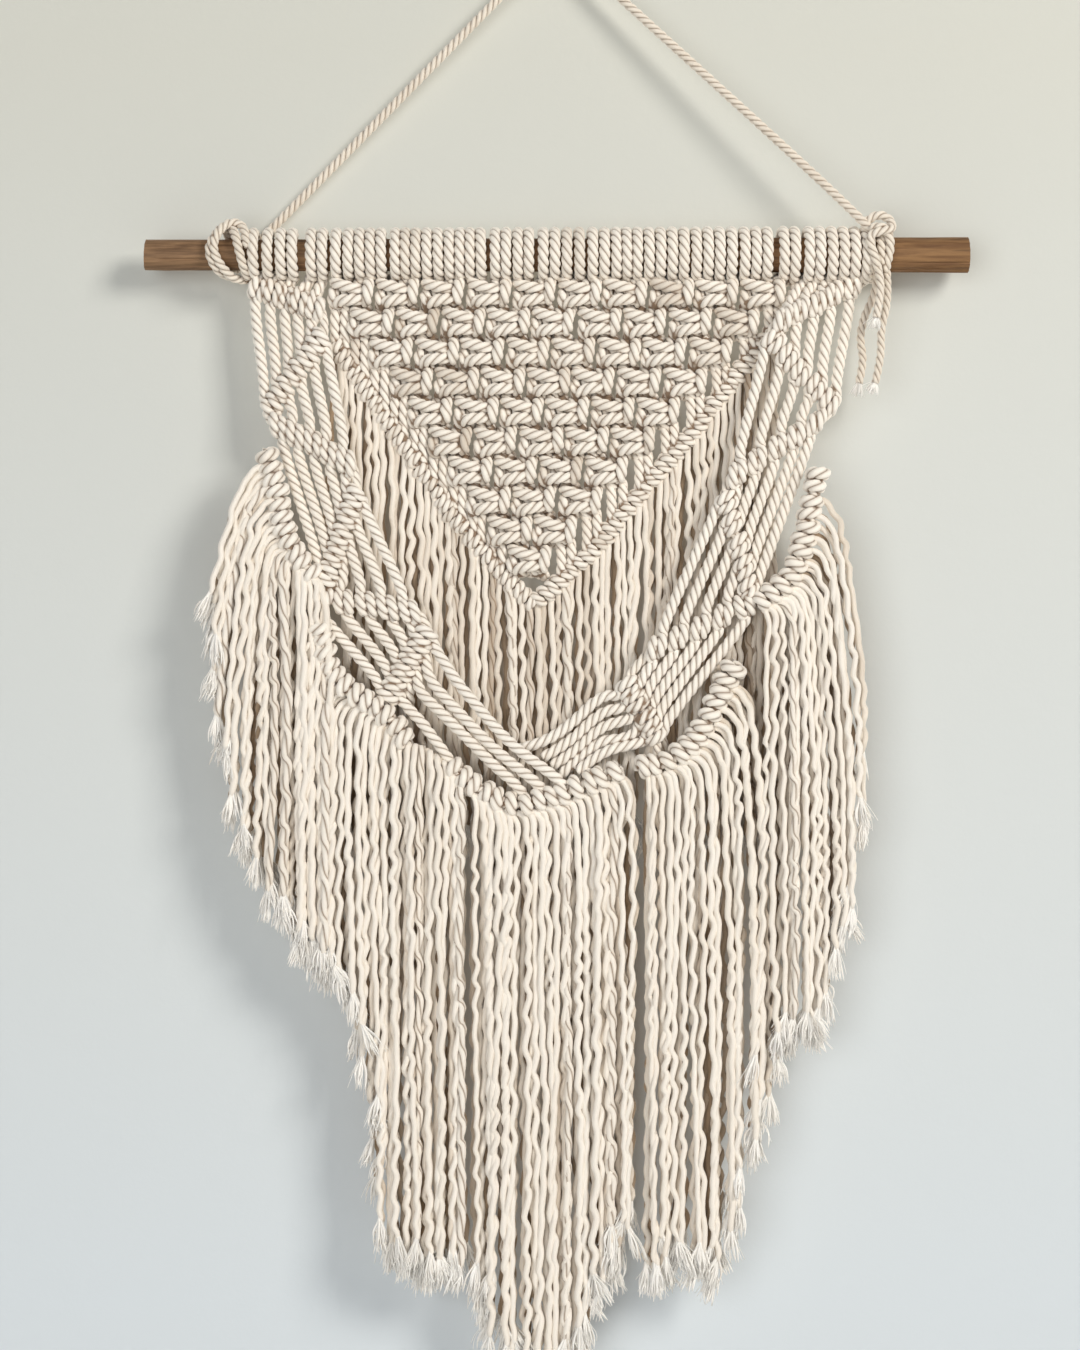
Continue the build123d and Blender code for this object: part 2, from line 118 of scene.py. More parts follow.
# %% [markdown]
# A cord's path is one smooth curve through the air. Blender's own NURBS spline turns a few
# control points into that curve, and a curve object without a bevel gives back its points.

# %% Smooth lines from control points


def smooth_lines(routes, resolution=8):
    """One smooth line of points for each route of control points, read from NURBS splines."""
    curve = bpy.data.curves.new("route", "CURVE")
    curve.dimensions = "3D"
    curve.resolution_u = resolution
    for route in routes:
        spline = curve.splines.new("NURBS")
        spline.points.add(len(route) - 1)
        spline.points.foreach_set("co", [c for point in route for c in (*point, 1.0)])
        spline.order_u = 3
        spline.use_endpoint_u = True
    holder = bpy.data.objects.new("route", curve)
    mesh = bpy.data.meshes.new_from_object(holder)
    points = np.empty(len(mesh.vertices) * 3)
    mesh.vertices.foreach_get("co", points)
    points = points.reshape(-1, 3)
    edges = np.empty(len(mesh.edges) * 2, dtype=int)
    mesh.edges.foreach_get("vertices", edges)
    joined = set(edges.reshape(-1, 2).min(axis=1).tolist())
    breaks = [i + 1 for i in range(len(points) - 1) if i not in joined]
    bpy.data.objects.remove(holder)
    bpy.data.curves.remove(curve)
    bpy.data.meshes.remove(mesh)
    return np.split(points, breaks)


def evenly(line, step):
    """The same line with points about a step apart, and how far along it each one is."""
    runs = np.linalg.norm(np.diff(line, axis=0), axis=1)
    along = np.concatenate([[0], np.cumsum(runs)])
    count = max(3, int(round(along[-1] / step)) + 1)
    places = np.linspace(0, along[-1], count)
    return np.stack([np.interp(places, along, line[:, i]) for i in range(3)], 1), places


def length_of(line):
    """A line's length in metres."""
    return float(np.linalg.norm(np.diff(line, axis=0), axis=1).sum())


# %% [markdown]
# A twisted cotton cord is three soft plies laid round each other. Three round bars would cost
# many faces, so the cord is one skin with a three-lobed section that turns as it goes along.
# Each point also remembers its place in the untwisted cord, how deep it is in the groove
# between two plies, which sets painted shade, and the cord's own tone, which on the deeper
# fringe layers also carries painted shade, for the material to use.

# %% Cord sections
PLY_OFFSET = 0.42
PLY_RADIUS = 0.60
CORD_TWIST = 16.0
CORD_STEP = 1.2
ROPE_D = 5.2
ROPE_R = ROPE_D / 2
ROPE_TWIST = 13.5
ROPE_STEP = 0.9


def ply_section(turns):
    """Angles, radii and groove depths of a three-ply section of radius one."""
    angles, radii, crests = [], [], []
    for lobe in range(3):
        for turn in turns:
            a = math.radians(turn)
            r = PLY_OFFSET * math.cos(a)
            r += math.sqrt(PLY_RADIUS ** 2 - (PLY_OFFSET * math.sin(a)) ** 2)
            angles.append(math.radians(120 * lobe) + a)
            radii.append(r / (PLY_OFFSET + PLY_RADIUS))
            crests.append(1 - abs(turn) / 60)
    return np.array(angles), np.array(radii), np.array(crests)


def plain_section(sides):
    """A round section."""
    angles = np.arange(sides) * 2 * math.pi / sides
    return angles, np.ones(sides), np.ones(sides)


CORD_SECTION = ply_section((-60, -44, -14, 14, 44))
ROPE_SECTION = ply_section((-60, -46, -20, 0, 20, 46))
STRAND_SECTION = plain_section(7)
YARN_SECTION = plain_section(4)
HAIR_SECTION = plain_section(3)
LOOSE_SECTION = ply_section((-60, -25, 25))
print("cord section points", len(CORD_SECTION[0]))

# %% [markdown]
# To sweep a section along a line without it flipping, each ring's frame is carried over from
# the ring before. All the lines of one piece are carried along together, one ring at a time.

# %% Frames along lines
TOWARDS_ROOM = 0.9
TINY = 1e-12


def carried_frames(lines):
    """Points and two cross directions along each line, without sudden turns."""
    longest = max(len(line) for line in lines)
    points = np.stack([np.concatenate([line, np.repeat(line[-1:], longest - len(line), 0)])
                       for line in lines])
    tangents = np.zeros_like(points)
    for i, line in enumerate(lines):
        way = np.gradient(line, axis=0)
        way /= np.maximum(np.linalg.norm(way, axis=1, keepdims=True), TINY)
        tangents[i, :len(line)] = way
        tangents[i, len(line):] = way[-1]
    normals = np.zeros_like(points)
    guess = np.tile(np.array([0.0, -1.0, 0.0]), (len(lines), 1))
    guess[np.abs(tangents[:, 0, 1]) > TOWARDS_ROOM] = (1.0, 0.0, 0.0)
    for ring in range(longest):
        way = tangents[:, ring]
        guess = guess - way * (guess * way).sum(1, keepdims=True)
        guess /= np.maximum(np.linalg.norm(guess, axis=1, keepdims=True), TINY)
        normals[:, ring] = guess
    return points, normals, np.cross(tangents, normals)


# %% [markdown]
# A skein gathers all the cords of one piece. Where two cords press on each other, or a loop
# presses on its own start, shade is painted in the line between them, as it is in the groove
# between two plies. A search tree of the cords' middle lines finds the points that lie in such
# a line, and their groove value is lowered, so the painted groove shade darkens them.

# %% A skein of cords
PRESS_REACH = 1.3
OWN_LOOP = 4.0
MIDDLE_TONE = 0.5
TONE_SPREAD = 0.12
CUT_WIDTH = 0.35


class Skein:
    """Collects swept cords and makes one mesh piece of them."""

    def __init__(self, seed):
        self.random = np.random.default_rng(seed)
        self.points, self.faces, self.lay, self.crest, self.tone = [], [], [], [], []
        self.centres, self.rings = [], []
        self.count = 0

    def sweep(self, lines, radius, pitch, section, step, tone=MIDDLE_TONE, ends=0.0, thin=0.0,
              tip=0.0):
        """Adds cords along lines.

        Both ends narrow over the length `ends`, and the far end over `thin`, down to `tip`.
        """
        laid = [evenly(np.asarray(line), step) for line in lines]
        points, normals, sides = carried_frames([line for line, _ in laid])
        angles, radii, crests = section
        sides_count = len(angles)
        radius = np.broadcast_to(radius, (len(lines),))
        tones_and_shades = np.broadcast_to(tone, (len(lines),))
        for i, (line, along) in enumerate(laid):
            rings = len(line)
            phase = self.random.uniform(0, 2 * math.pi)
            turn = phase - (2 * math.pi / pitch) * along if pitch else np.full(rings, phase)
            theta = turn[:, None] + angles[None, :]
            scale = np.full(rings, radius[i])
            if ends:
                near = np.minimum(along, along[-1] - along) / ends
                scale = scale * (CUT_WIDTH + (1 - CUT_WIDTH) * np.sqrt(np.clip(near, 0, 1)))
            if thin:
                left = np.clip((along[-1] - along) / thin, 0, 1)
                scale = scale * (tip + (1 - tip) * np.sqrt(left))
            reach = scale[:, None] * radii[None, :]
            ring = (points[i, :rings, None, :]
                    + normals[i, :rings, None, :] * (reach * np.cos(theta))[..., None]
                    + sides[i, :rings, None, :] * (reach * np.sin(theta))[..., None])
            self.points.append(ring.reshape(-1, 3))
            self.centres.append(line)
            self.rings.append((sides_count, radius[i]))
            flat = np.stack([reach * np.cos(angles), reach * np.sin(angles),
                             np.repeat((along + phase)[:, None], sides_count, 1)], -1)
            self.lay.append(flat.reshape(-1, 3))
            self.crest.append(np.tile(crests, rings))
            own = tones_and_shades[i] + self.random.normal(0, TONE_SPREAD)
            self.tone.append(np.full(rings * sides_count, own))
            first = self.count + np.arange(rings - 1)[:, None] * sides_count
            here = np.arange(sides_count)[None, :]
            nxt = (here + 1) % sides_count
            quads = np.stack([first + here, first + nxt, first + nxt + sides_count,
                              first + here + sides_count], -1).reshape(-1, 4)
            self.faces.extend(quads.tolist())
            self.faces.append(list(range(self.count + sides_count - 1, self.count - 1, -1)))
            last = self.count + (rings - 1) * sides_count
            self.faces.append(list(range(last, last + sides_count)))
            self.count += rings * sides_count

    def lay_cords(self, routes, radius, twist=CORD_TWIST, tone=MIDDLE_TONE):
        """Adds three-ply cords on smooth lines through the routes' points."""
        self.sweep(smooth_lines(routes), radius * MM, twist * MM, CORD_SECTION, CORD_STEP * MM,
                   tone=tone)

    def lay_ropes(self, lines, radius, ends=0.0):
        """Adds ropes along lines that are smooth already."""
        self.sweep(lines, radius * MM, ROPE_TWIST * MM, ROPE_SECTION, ROPE_STEP * MM, ends=ends)

    def press(self, *others):
        """Lowers the crest of points that press on another cord or on a loop of their own, which
        paints shade on them.
        """
        every = [(skein, cord) for skein in (self, *others)
                 for cord in range(len(skein.centres))]
        spots = [(owner, ring, spot) for owner, (skein, cord) in enumerate(every)
                 for ring, spot in enumerate(skein.centres[cord])]
        tree = KDTree(len(spots))
        for index, (owner, ring, spot) in enumerate(spots):
            tree.insert(spot, index)
        tree.balance()
        for cord, (sides, radius) in enumerate(self.rings):
            step = np.linalg.norm(self.centres[cord][1] - self.centres[cord][0])
            own_loop = OWN_LOOP * radius / step
            pressed = self.crest[cord].copy()
            for index, point in enumerate(self.points[cord]):
                nearest = PRESS_REACH
                for _, spot, distance in tree.find_range(point, PRESS_REACH * radius):
                    owner, ring, _ = spots[spot]
                    if owner != cord or abs(ring - index // sides) > own_loop:
                        nearest = min(nearest, distance / radius)
                free = (nearest - 1.0) / (PRESS_REACH - 1.0)
                pressed[index] *= min(1, max(0, free)) ** 0.5
            self.crest[cord] = pressed

    def make(self, name, material):
        """The mesh piece, with its points' memories as attributes."""
        mesh = bpy.data.meshes.new(name)
        mesh.from_pydata(np.concatenate(self.points), [], self.faces, shade_flat=False)
        mesh.attributes.new("lay", "FLOAT_VECTOR", "POINT").data.foreach_set(
            "vector", np.concatenate(self.lay).ravel())
        mesh.attributes.new("crest", "FLOAT", "POINT").data.foreach_set(
            "value", np.concatenate(self.crest))
        mesh.attributes.new("tone", "FLOAT", "POINT").data.foreach_set(
            "value", np.concatenate(self.tone))
        piece = bpy.data.objects.new(name, mesh)
        bpy.context.scene.collection.objects.link(piece)
        mesh.materials.append(material)
        triangles = sum(len(face) - 2 for face in self.faces)
        print(name, "triangles", triangles)
        return piece


# %% [markdown]
# ## Materials
# Shader maths is easier to read as expressions. This small class wraps a node's output
# socket, and its one method `node` adds any other kind of node.

# %% A small language for shader nodes


class Value:
    """A socket in a material's node tree that can be used in sums."""

    def __init__(self, tree, socket):
        self.tree = tree
        self.socket = socket

    def node(self, kind, settings=(), output=0, **inputs):
        """Adds a node of a kind, sets it, links its inputs and wraps its output."""
        made = self.tree.nodes.new(kind)
        for key, value in dict(settings).items():
            if key == "stops":
                ramp = made.color_ramp
                while len(ramp.elements) < len(value):
                    ramp.elements.new(0.5)
                for element, (place, colour) in zip(ramp.elements, value):
                    element.position = place
                    element.color = (*colour, 1.0)
            else:
                setattr(made, key, value)
        for key, value in inputs.items():
            wanted = key.replace("_", " ")
            socket = made.inputs[int(key[1:])] if key[1:].isdigit() else made.inputs[wanted]
            if isinstance(value, Value):
                self.tree.links.new(value.socket, socket)
            else:
                socket.default_value = value
        return Value(self.tree, made.outputs[output])

    def maths(self, operation, other=0.0):
        """One Math node."""
        return self.node("ShaderNodeMath", {"operation": operation}, i0=self, i1=other)

    def __add__(self, other):
        return self.maths("ADD", other)

    def __mul__(self, other):
        return self.maths("MULTIPLY", other)

    def __pow__(self, other):
        return self.maths("POWER", other)

    def __sub__(self, other):
        return self.maths("SUBTRACT", other)

    def __rsub__(self, other):
        return self.node("ShaderNodeMath", {"operation": "SUBTRACT"}, i0=other, i1=self)

    __radd__ = __add__
    __rmul__ = __mul__


def mixed(factor, first, second):
    """A colour between two colours."""
    return factor.node("ShaderNodeMix", {"data_type": "RGBA"}, output=2, i0=factor, i6=first,
                       i7=second)


def new_material(name):
    """A material with its main shader and a Value to start expressions from."""
    material = bpy.data.materials.new(name)
    material.use_nodes = True
    tree = material.node_tree
    shader = tree.nodes["Principled BSDF"]
    start = Value(tree, tree.nodes.new("ShaderNodeTexCoord").outputs["Object"])
    return material, shader, start


def feed(shader, name, value):
    """Links a Value to one of the shader's inputs."""
    value.tree.links.new(value.socket, shader.inputs[name])


# %% [markdown]
# Cotton is dull and creamy, with painted shade, warm and dark, in the grooves between plies
# and where cords press, and fine yarns that run along each ply. The deep layers of the fringes
# are painted darker still, as painted shade. The yarns follow the cord because their noise is
# read in the untwisted cord's own space, stretched along it. A little sheen stands for the fuzz
# of short fibres.

# %% Cotton
CREAM = (0.90, 0.83, 0.735, 1.0)
OATMEAL = (0.80, 0.70, 0.575, 1.0)
# Painted shade: the next colour is the dark tan given to the deep layers of the fringes.
DEEP_LAYER_SHADE_TAN = (0.38, 0.275, 0.18, 1.0)
# Painted shade: the next colour is the brown given to the grooves between plies and to the lines
# where cords press.
GROOVE_SHADE_BROWN = (0.22, 0.135, 0.075, 1.0)
TIP_WHITE = (0.95, 0.92, 0.87, 1.0)
CORD_CREAM = (0.96, 0.895, 0.80, 1.0)
CORD_OATMEAL = (0.87, 0.78, 0.66, 1.0)
ROPE_CREAM = (0.86, 0.78, 0.67, 1.0)
TUFT_CREAM = (0.92, 0.86, 0.77, 1.0)
FIBRE_STRETCH = 0.09
GROOVE_SHARPNESS = 4.2
GROOVE_DEPTH = 0.95


def cotton(name, light, dark, groove_shade, yarn, strength):
    """A cotton material from its light colour, its worn colour, also painted shade on deep
    strands, and its painted groove shade.
    """
    material, shader, place = new_material(name)
    lay = place.node("ShaderNodeAttribute", {"attribute_name": "lay"}, output=1)
    crest = place.node("ShaderNodeAttribute", {"attribute_name": "crest"}, output=2)
    tone = place.node("ShaderNodeAttribute", {"attribute_name": "tone"}, output=2)
    stretched = lay.node("ShaderNodeMapping", Vector=lay, Scale=(yarn, yarn, yarn * FIBRE_STRETCH))
    fibres = stretched.node("ShaderNodeTexNoise", Vector=stretched, Scale=1.0, Detail=3.0,
                            Roughness=0.6)
    blotches = place.node("ShaderNodeTexNoise", Vector=place, Scale=38.0, Detail=2.0)
    fuzz = place.node("ShaderNodeTexNoise", Vector=place, Scale=1900.0, Detail=2.0)
    # Blotches and each cord's tone move the colour towards the worn colour; the deep fringe
    # layers, given a high tone, go on towards a dark tan, which is painted shade.
    wear_and_shade = tone * 0.8 + blotches * 0.5 - 0.3
    cloth = mixed(wear_and_shade.node("ShaderNodeClamp", Value=wear_and_shade), light, dark)
    inner = (tone + blotches * 0.3 - 0.75) * 1.6
    cloth = mixed(inner.node("ShaderNodeClamp", Value=inner), cloth, DEEP_LAYER_SHADE_TAN)
    # Painted shade: where the crest is low, in the grooves and where cords press, the colour is
    # mixed towards the dark groove colour.
    seen = 1 - (1 - crest) ** GROOVE_SHARPNESS * GROOVE_DEPTH
    shade = seen * (fibres * 0.24 + 0.88)
    shade = shade.node("ShaderNodeClamp", Value=shade)
    feed(shader, "Base Color", mixed(shade, groove_shade, cloth))
    feed(shader, "Roughness", fuzz * 0.12 + 0.8)
    height = fibres * 0.8 + fuzz * 0.3
    bump = height.node("ShaderNodeBump", Strength=strength, Distance=0.0006, Height=height)
    feed(shader, "Normal", bump)
    shader.inputs["Sheen Weight"].default_value = 0.25
    shader.inputs["Sheen Roughness"].default_value = 0.6
    shader.inputs["Specular IOR Level"].default_value = 0.2
    return material


cord_cotton = cotton("cotton_cord_laid", CORD_CREAM, CORD_OATMEAL, GROOVE_SHADE_BROWN,
                     2600.0, 0.35)
fringe_cotton = cotton("cotton_fringe_combed", CREAM, OATMEAL, GROOVE_SHADE_BROWN, 2300.0, 0.5)
rope_cotton = cotton("cotton_rope_laid", ROPE_CREAM, OATMEAL, GROOVE_SHADE_BROWN, 2600.0, 0.4)
tuft_cotton = cotton("cotton_tuft_loose", TIP_WHITE, TUFT_CREAM, OATMEAL, 4000.0, 0.3)
print("cotton materials made")

# %% [markdown]
# ## The hanging rope
# A thinner three-ply rope runs from a hitch at the left of the dowel, over the nail, to a
# hitch at the right. The weight of the hanging pulls it straight. Its control points repeat the
# CAD tube's, with one more on each long run near the nail.

# %% The hanging rope and its cut ends
NAIL_R = 2.5
REST_GAP = 0.3
ROPE_OUT = 12.0
NAIL_TURN_HALF = 3.2
OVER_NAIL = NAIL_R + REST_GAP + ROPE_R
ROPE_LEFT = [(-178.0, 8.5, -1.0), (-170.5, 3.6, 6.6), (-162.5, 4.4, 14.0)]
ROPE_RIGHT = [(170.0, 30.8, 17.2), (175.5, 31.0, 9.0)]
NEAR_NAIL = 31.0


def wall_point(x, out, z):
    """A point in metres from millimetres along, out from the wall and above the axis."""
    return np.array((x * MM, -out * MM, AXIS_Z + z * MM))


def toward(start, end, distance):
    """The point a distance in metres from start on the way to end."""
    return start + (end - start) * distance / np.linalg.norm(end - start)


left_run = [wall_point(*p) for p in ROPE_LEFT]
right_run = [wall_point(*p) for p in ROPE_RIGHT]
nail_left = np.array((-NAIL_TURN_HALF * MM, -ROPE_OUT * MM, OVER_NAIL * MM))
nail_right = nail_left * (-1, 1, 1)
rope_route = (left_run + [toward(nail_left, left_run[-1], NEAR_NAIL * MM), nail_left,
                          nail_right, toward(nail_right, right_run[0], NEAR_NAIL * MM)]
              + right_run)
rope_line = smooth_lines([rope_route], 40)[0]
skein = Skein(1)
skein.lay_ropes([rope_line], ROPE_R)
hanging = skein.make("hanging_rope_plies", rope_cotton)
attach(hanging, "hanger")
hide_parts("hanging_rope")
print("hanging rope length", round(length_of(rope_line), 4))

# %% [markdown]
# Three short ends hang from the right hitch, where the rope and its knot were cut off. The
# cut plies open into a small brush.

# %% The rope's cut ends


def brush(skein, ends, yarns, length, spread, yarn_r, tone=0.4, hairs=0):
    """Adds the frayed yarns at cord ends, each end a point and the way the cord was going."""
    lines, hair_lines = [], []
    for point, way in ends:
        point, way = np.asarray(point), np.asarray(way) / np.linalg.norm(way)
        side = np.cross(way, (0.0, 1.0, 0.0))
        side /= max(np.linalg.norm(side), 1e-9)
        front = np.cross(side, way)
        lean = skein.random.normal(0, 0.25, 2)
        for k in range(yarns + hairs):
            angle = skein.random.uniform(0, 2 * math.pi)
            open_out = skein.random.uniform(0.1, 1.0) * spread * (1.5 if k >= yarns else 1.0)
            reach = length * skein.random.uniform(0.6, 1.15)
            out = side * (math.cos(angle) * open_out + lean[0] * spread)
            out = out + front * (math.sin(angle) * open_out * 0.7 + lean[1] * spread)
            curl = side * skein.random.normal(0, 0.12) * length
            start = point - way * 0.25 * length + out * 0.15
            line = [start, point + out * 0.35, point + way * reach * 0.5 + out * 0.8 + curl,
                    point + way * reach + out * 1.25 + curl * 0.3]
            (lines if k < yarns else hair_lines).append(line)
    smooth = smooth_lines(lines, 3)
    skein.sweep(smooth, yarn_r, 0, YARN_SECTION, length / 6, tone=tone, thin=length * 0.5,
                tip=0.3)
    if hair_lines:
        skein.sweep(smooth_lines(hair_lines, 3), yarn_r * 0.35, 0, HAIR_SECTION, length / 5,
                    tone=tone - 0.2)


TAIL_R = ROPE_R * 0.9
TAILS = {
    "rope_tail_short": [(176.5, 8.0, 12.6), (177.8, 20.0, 17.6), (175.5, 34.0, 18.0),
                        (175.0, 37.0, 18.0)],
    "rope_tail_inner": [(177.0, 10.0, 8.0), (176.0, 22.0, 9.5), (169.0, 36.0, 9.5),
                        (167.0, 48.0, 9.0), (169.5, 60.0, 9.0), (166.5, 72.0, 9.5)],
    "rope_tail_outer": [(182.0, 10.0, 8.0), (183.0, 26.0, 9.0), (178.5, 42.0, 9.5),
                        (179.0, 58.0, 9.0), (175.5, 72.0, 9.0)],
}
for number, (name, places) in enumerate(TAILS.items()):
    route = [at(*p) for p in places]
    if name == "rope_tail_short":
        route = [at(175.0, 4.0, 12.0)] + route
    line = smooth_lines([route], 12)[0]
    skein = Skein(10 + number)
    skein.lay_ropes([line], TAIL_R)
    tail = skein.make(f"{name}_plies", rope_cotton)
    skein = Skein(20 + number)
    brush(skein, [(line[-1], line[-1] - line[-4])], 26, 6.5 * MM, 3.4 * MM, 0.42 * MM,
          hairs=16)
    fray = skein.make(f"{name}_fray", tuft_cotton)
    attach(tail, "hanger")
    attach(fray, "hanger")
    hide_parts(name)
    print(name, "length", round(length_of(line), 4))

# %% [markdown]
# ## The hitches on the dowel
# At each end of the hanging rope it is wound twice round the dowel and tucked under itself.
# The left hitch is loose and its plies have opened; the right one is tighter with a lump on
# top. Both are ordinary ropes on routes that wrap the dowel.

# %% The two hitches
TURN_STEP = 45
CUTS_INSIDE = 0.925


def around(x, radius, angle, x_slip=0.0):
    """A control point round the dowel, set out a little because a spline cuts inside."""
    a = math.radians(angle)
    r = radius / CUTS_INSIDE
    return at(x + x_slip, -r * math.sin(a), r * math.cos(a))


def winding(x_from, x_to, radius, start, stop):
    """Control points of a winding from one angle to another."""
    count = int(round(abs(stop - start) / TURN_STEP))
    return [around(x_from + (x_to - x_from) * i / count, radius,
                   start + (stop - start) * i / count) for i in range(count + 1)]


left_r = dowel_radius(-180) + ROPE_R + 0.2
right_r = dowel_radius(178) + ROPE_R + 0.2
HITCHES = {
    "hitch_left": [
        [at(-171, 13.5, 1)] + [at(-172.5, 9, 10), at(-174.5, 1, 13.5), at(-177, -9, 11.5),
                              at(-180, -15.5, 3)]
        + winding(-181, -183, left_r, 135, 225) + [at(-182, 12.5, 2), at(-187.5, 10, 9.5),
                                                  at(-192.3, 0, 12.5), at(-189, -9, 11.5),
                                                  at(-184, -16, 4)]
        + winding(-182, -178, left_r, 135, 225),
        [at(-171, 13.5, -2), at(-177, 14.5, 3), at(-182, 11.5, 8.5), at(-187.5, 4, 13),
         at(-189.5, -4, 13.5), at(-186, -12.5, 10.5), at(-180.5, -17.5, 5.5),
         at(-174.5, -16.5, 4), at(-171.5, -10, 9.5), at(-170.5, -2, 12.5)],
    ],
    "hitch_right": [
        winding(172, 173.5, right_r, 250, -90) + winding(175, 180, right_r, -100, -430)
        + [at(181, 12, 8)],
        [at(169, -15, 9), at(173, -19.5, 9.5), at(179, -21, 10), at(184.3, -17.5, 9.5),
         at(184.5, -12, 13.5), at(178, -11.0, 16.5), at(171.5, -8.5, 15.5),
         at(172.5, -1.5, 16), at(175.5, 5, 15.5), at(176.5, 10, 13)],
        [at(172, -12, 13), at(177, -14.5, 14.5), at(182.5, -10.5, 14), at(183.5, -3, 13.5),
         at(182, 5, 12.5), at(181, 11, 9)],
    ],
}
for number, (name, routes) in enumerate(HITCHES.items()):
    skein = Skein(30 + number)
    skein.lay_ropes(smooth_lines(routes), ROPE_R, ends=1.5 * MM)
    skein.press()
    hitch = skein.make(f"{name}_plies", rope_cotton)
    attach(hitch, "hanger")
    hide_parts(name)

# %% [markdown]
# ## Lark's heads on the dowel
# Each cord is folded in half and hung on the dowel by its fold, so the front shows two plain
# turns side by side while the crossing bar hides behind. The turns are not evenly spaced: the
# hand that made them left small gaps where the wood shows.

# %% Lark's heads
MIDDLE_TURNS = [
    -122.1, -115.2, -109.1, -103.3, -97.5, -89.4, -83.9, -78.1, -72.2, -66.1,
    -59.7, -53.6, -48.1, -42.5, -34.2, -28.1, -21.7, -15.6, -7.6, -1.2,
    5.4, 12.2, 19.6, 26.2, 32.6, 38.4, 44.5, 50.8, 57.3, 63.6,
    70.2, 76.8, 83.3, 89.8, 96.6, 103.6, 110.0, 116.2, 125.2, 131.4,
]
LEFT_TURNS = [-129.6, -136.0, -146.4, -152.8, -159.8, -168.0]
RIGHT_TURNS = [139.2, 145.4, 151.8, 158.2, 164.4, 170.6]
TURN_CORD_R = 3.2
KNOT_PITCH = 25.2
TOP_ROW_DEPTH = 22.75


def lark_head(x_one, x_two, foot_one, foot_two, random):
    """The route of one folded cord: leg, turn, bar behind, turn, leg."""
    radius = dowel_radius(x_one) + TURN_CORD_R + 0.25
    tilt = random.normal(0, 0.35, 2)

    def side(x, foot, slip):
        """From a leg's foot up the back, over the top and down the front."""
        leg = [foot, at((x * 2 + foot[0] / MM) / 3, radius + 1.5, -3.5),
               around(x, radius, 218), around(x, radius, 180)]
        turn = [around(x, radius, a, slip * (1 - (a + 90) / 180)) for a in
                (135, 90, 45, 0, -45, -90)]
        return leg + turn

    one = side(x_one, foot_one, tilt[0] + 0.5)
    two = side(x_two, foot_two, tilt[1] + 0.5)
    middle = (x_one + x_two) / 2
    bar = [around(x_one * 0.7 + middle * 0.3, radius + 2.5, -128),
           around(middle, radius + 4.5, -145),
           around(x_two * 0.7 + middle * 0.3, radius + 2.5, -128)]
    return one + bar + two[::-1]


random = np.random.default_rng(5)
cord_xs = [(-19.5 + i) * KNOT_PITCH / 4 for i in range(40)]
feet = [at(x, TOP_ROW_DEPTH - 6.6, 1.0) for x in cord_xs]
routes = [lark_head(MIDDLE_TURNS[i], MIDDLE_TURNS[i + 1], feet[i], feet[i + 1], random)
          for i in range(0, 40, 2)]
skein = Skein(40)
skein.lay_cords(routes, TURN_CORD_R)
skein.press()
heads = skein.make("larks_heads_panel_cords", cord_cotton)
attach(heads, "back_panel")
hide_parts("larks_heads_panel")

# %% [markdown]
# ## The square-knot panel
# A square knot ties two outer working cords round two that run straight. In front it shows
# two bars, one above the other, each tucked at one end under a short upright bump of the
# other cord. Every row takes half its cords from each knot above, so the rows interlock and
# leave dark diamonds between them.

# %% Square knots
ROW_PITCH = 16.4
ROW_LEAN = -1.74
PANEL_FORWARD = 1.0
LEFT_CORD = [
    (-8.7, 0.0, 8.3), (-9.4, 2.4, 7.0), (-8.4, 5.2, 5.6), (-4.4, 6.9, 4.5), (-0.4, 7.2, 3.6),
    (3.4, 6.4, 2.9), (6.2, 3.4, 2.2), (7.4, 0.8, 1.2), (7.6, 0.8, -1.0), (6.6, 4.0, -2.0),
    (3.4, 6.8, -2.5), (-0.4, 7.6, -3.0), (-4.4, 7.0, -3.7), (-7.4, 4.2, -4.7),
    (-9.2, 1.0, -5.8), (-9.2, -0.4, -7.2), (-8.7, 0.0, -8.3),
]
RIGHT_CORD = [
    (8.7, 0.0, 8.3), (9.4, 2.0, 7.4), (9.0, 5.4, 5.6), (8.6, 7.7, 2.6), (8.6, 7.8, -0.8),
    (8.2, 5.2, -3.4), (6.0, 0.0, -3.2), (2.0, -4.6, -0.6), (-4.8, -4.4, 1.4),
    (-8.4, -0.6, 1.8), (-9.2, 3.2, 0.6), (-9.4, 4.4, -2.0), (-9.0, 3.4, -5.0),
    (-7.0, 0.6, -6.4), (-3.4, -4.2, -5.6), (1.0, -5.2, -5.2), (6.4, -3.8, -5.8),
    (9.0, -1.2, -7.0), (8.7, 0.0, -8.3),
]
KNOT_CORD_R = 3.4
KNOT_ROWS = 10
HALF_KNOT = 8.3
LAST_FOOT = 6.0
CORE_SIDE = 3.9
SHAKE = 0.22


def row_places(row):
    """The places of the knots in a row, counted from 0 at the top."""
    count = KNOT_ROWS - row
    depth = TOP_ROW_DEPTH + row * ROW_PITCH
    return [(row * ROW_LEAN + (i - (count - 1) / 2) * KNOT_PITCH, depth)
            for i in range(count)]


